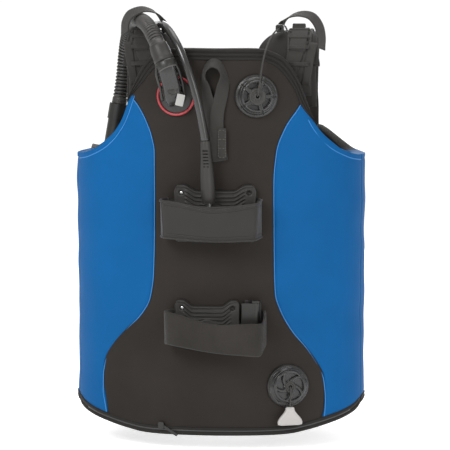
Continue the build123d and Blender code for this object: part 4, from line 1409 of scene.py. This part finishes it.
def build_shoulder(side_name, left, right):
    inward = 1 if left < 0 else -1
    near, far = (right, left) if left < 0 else (left, right)
    route = catmull([(0, y, z) for y, z in SHOULDER_SIDE], 6)
    count = len(route) - 1
    halves, path = [], []
    for i, p in enumerate(route):
        flare = smooth_step((i / count - 0.06) / 0.1) * (1 - smooth_step((i / count - 0.18) / 0.26))
        taper = smooth_step((i / count - 0.6) / 0.4)
        x0 = near + inward * (26 * flare - 6 * taper)
        x1 = far - inward * (5 * flare - 4 * taper)
        halves.append(abs(x1 - x0) / 2)
        path.append(Vector(((x0 + x1) / 2, p.y, p.z)))
    profile = superellipse(1, 6.2, 0.7, 0.8, 48)

    def size(i, d):
        return halves[i], 1.0 + 0.08 * wobble(path[i].x, path[i].y, path[i].z, 25.0, 2.0)

    normals = [Vector((1, 0, 0)).cross(direction_at(route, i)).normalized() for i in range(count + 1)]
    pad = sweep(f"{side_name}_shoulder_cloth", path, profile, normals, size=size)
    finish_piece(pad, "foam_pad", PAD_CLOTH, f"{side_name}_shoulder_pad")

    strap_x = (near + far) / 2 - 6.0 * inward
    parts = []

    def ribbon(name, start, stop, x0, x1, rise, width, thickness):
        line = []
        for i in range(start, stop):
            x = x0 + (x1 - x0) * (i - start) / (stop - 1 - start)
            line.append(Vector((x, route[i].y, route[i].z)) + normals[i] * rise)
        parts.append(sweep(name, line, strap_profile(width, thickness), normals[start:stop]))
        return line

    lifted = ribbon("strap", 3, count + 1, strap_x, strap_x, 7.0, 36, 2.0)
    ribbon("fold", 8, 21, strap_x + 16 * inward, strap_x - 3 * inward, 8.9, 22, 1.8)
    ribbon("upper_fold", 16, 30, strap_x + 2 * inward, strap_x - 2 * inward, 10.4, 24, 1.8)
    ribbon("side_strap", 6, 20, strap_x - 10 * inward, strap_x - 21 * inward, 8.6, 12, 1.8)
    for i in (12, 17, 21, 25):
        p = Vector((strap_x, route[i].y, route[i].z)) + normals[i] * 11.6
        bar = [p + Vector((dx, 0, 0)) for dx in (-15, -5, 5, 15)]
        parts.append(sweep("bar", bar, strap_profile(6, 1.8), normals[i]))
    tab_at = Vector((strap_x + 2 * inward, -30, 590))
    tab_path = catmull([tab_at + Vector((0, y, z)) for y, z in ((-16, -9), (-8, 1), (4, 6), (16, 2))], 6)
    parts.append(sweep("tab", tab_path, strap_profile(19, 2.4), Vector((0, -0.4, 1))))
    straps = join(f"{side_name}_shoulder_straps", parts)
    finish_piece(straps, "webbing", WEBBING)
    tip_plane = frame_at(tab_at + Vector((0, -14, -5)), (0, -0.75, 0.66), (1, 0, 0))
    tip = block(f"{side_name}_tab_tip", tip_plane, rounded(20, 9, 2), -1.6, 2.2)
    finish_piece(tip, "black_plastic", BLACK_PLASTIC)
    rows = []
    for dx in (-15.5, 15.5):
        line = [p + Vector((dx, 0, 0)) for p in lifted[4:-4]]
        rows.append(stitches(line, normals[7:-4], lift=1.3))
    finish_piece(join(f"{side_name}_shoulder_stitching", rows), "black_fabric", THREAD)


def build_webbing_tails():
    parts = []
    for x in (-108, 109):
        path = catmull([(x, 88, 505), (x, 91, 488), (x, 92.5, 470), (x, 93.5, 444), (x, 95, 420)], 6)
        parts.append(sweep("tail", path, strap_profile(38, 2.4), Vector((0, 1, 0))))
    finish_piece(join("shoulder_tails", parts), "webbing", WEBBING, "shoulder_webbing")


LEFT_LOOP = [(-139, 584), (-138, 600), (-129, 612), (-112, 618), (-95, 614), (-84, 602), (-79, 586)]
RIGHT_LOOP = [(86, 585), (92, 599), (104, 608), (119, 611), (134, 607), (144, 594), (148, 577), (148, 560)]


def build_loops():
    for side_name, outline, yaw, pitch, back in (
        ("left", LEFT_LOOP, 0.5, 0.25, -50),
        ("right", RIGHT_LOOP, -0.42, 0.26, -22),
    ):
        wide = Vector((-sin(yaw), cos(yaw), sin(pitch))).normalized()
        path = catmull([(x, back - 0.25 * abs(z - 600), z) for x, z in outline], 8)
        ups = [wide.cross(direction_at(path, i)).normalized() for i in range(len(path))]
        loop = sweep(f"{side_name}_loop_webbing", path, strap_profile(25, 2.0), ups)
        finish_piece(loop, "webbing", WEBBING, f"{side_name}_hose_loop")


def build_knobs():
    rings, sides = 24, 32
    for name, top, turn, material, slot in (
        ("shoulder", (98.6, 103.5, 527), 0.0, BLACK_PLASTIC, "black_plastic"),
        ("lower", (107.8, -121.6, 42.5), asin(103.5 / BACK_R), PALE_PLASTIC, "pale_plastic"),
    ):
        plane = frame_at(top, (sin(turn), -cos(turn), 0), (cos(turn), sin(turn), 0))
        verts = []
        for i in range(rings + 1):
            t = i / rings
            cap = bump(min(t, 1 - t) / 0.08)
            half = (6.2 + 12.3 * smooth_step((t - 0.08) / 0.75)) * (0.75 + 0.25 * cap)
            thick = (3.9 - 0.4 * t + 0.5 * exp(-(((t - 0.1) / 0.1) ** 2))) * (0.3 + 0.7 * cap)
            verts += [plane @ Vector((x, -27 * t, y)) for x, y in superellipse(half, thick, 0.5, 0.5, sides)]
        knob = new_object(f"{name}_pull_grip", verts, ring_faces(rings + 1, sides))
        finish_piece(knob, slot, material, f"{name}_pull_knob", body=f"{name}_knob")


def build_front_strap():
    """Padding of the front straps, the right one seen through the armhole."""
    for side_name, x in (("left", -112), ("right", 116)):
        route = ((0, 84, 512), (1, 88, 490), (2, 90, 470), (2, 92, 452), (2, 97, 438))
        path = catmull([(x + dx, y, z) for dx, y, z in route], 6)
        strap = sweep(f"{side_name}_front_strap", path, superellipse(22, 3.6, 0.4, 1, 32), Vector((0, 1, 0)))
        finish_piece(strap, "foam_pad", PAD_CLOTH)


CAD_LOOKS = {
    "black_fabric": BLACK_CLOTH,
    "blue_fabric": BLUE_CLOTH,
    "bladder": LINING_CLOTH,
    "foam_pad": PAD_CLOTH,
    "webbing": WEBBING,
    "rubber": RUBBER,
    "black_plastic": BLACK_PLASTIC,
    "red_trim": RED_PLASTIC,
    "pale_plastic": PALE_PLASTIC,
    "grey_plastic": GREY_PLASTIC,
    "silicone": SILICONE,
    "steel": STEEL,
    "cord": CORD_BRAID,
}


def dress_cad_nodes():
    """Every carried-over CAD node gets the material of its slot."""
    for entry in frame["record"]["subparts"]:
        materials = frame["nodes"][entry["node"]].data.materials
        materials.clear()
        looks = CAD_LOOKS[entry["material_slot"]]
        looks = {"hem_zip_slider": BLACK_PLASTIC, "lp_fitting": DARK_STEEL}.get(entry["node"], looks)
        materials.append(looks)


build_centre_panel()
for SIDE, SIDE_NAME in ((-1, "left"), (1, "right")):
    build_side_panel(SIDE, SIDE_NAME)
    build_lobe(SIDE_NAME)
    build_lobe_details(SIDE_NAME)
build_back_lining()
build_back_pad()
build_edge_bands()
build_tank_pad("upper_tank_pad", -60, 58, 284, 368)
build_tank_pad("lower_tank_pad", -59, 35, 138, 200)
build_bands()
build_valve_strap()
build_valve("shoulder", 58, 496, "upper")
build_valve("lower", 103.5, 72, "lower")
build_elbow()
build_hose_ends()
build_shoulder("left", -135, -78)
build_shoulder("right", 80, 143)
build_webbing_tails()
build_front_strap()
build_loops()
build_knobs()
dress_cad_nodes()

Vector(LP_ROUTE[0]) * MM
round(length_of(lp_line) * MM, 3)
[p * MM for p in lp_line]
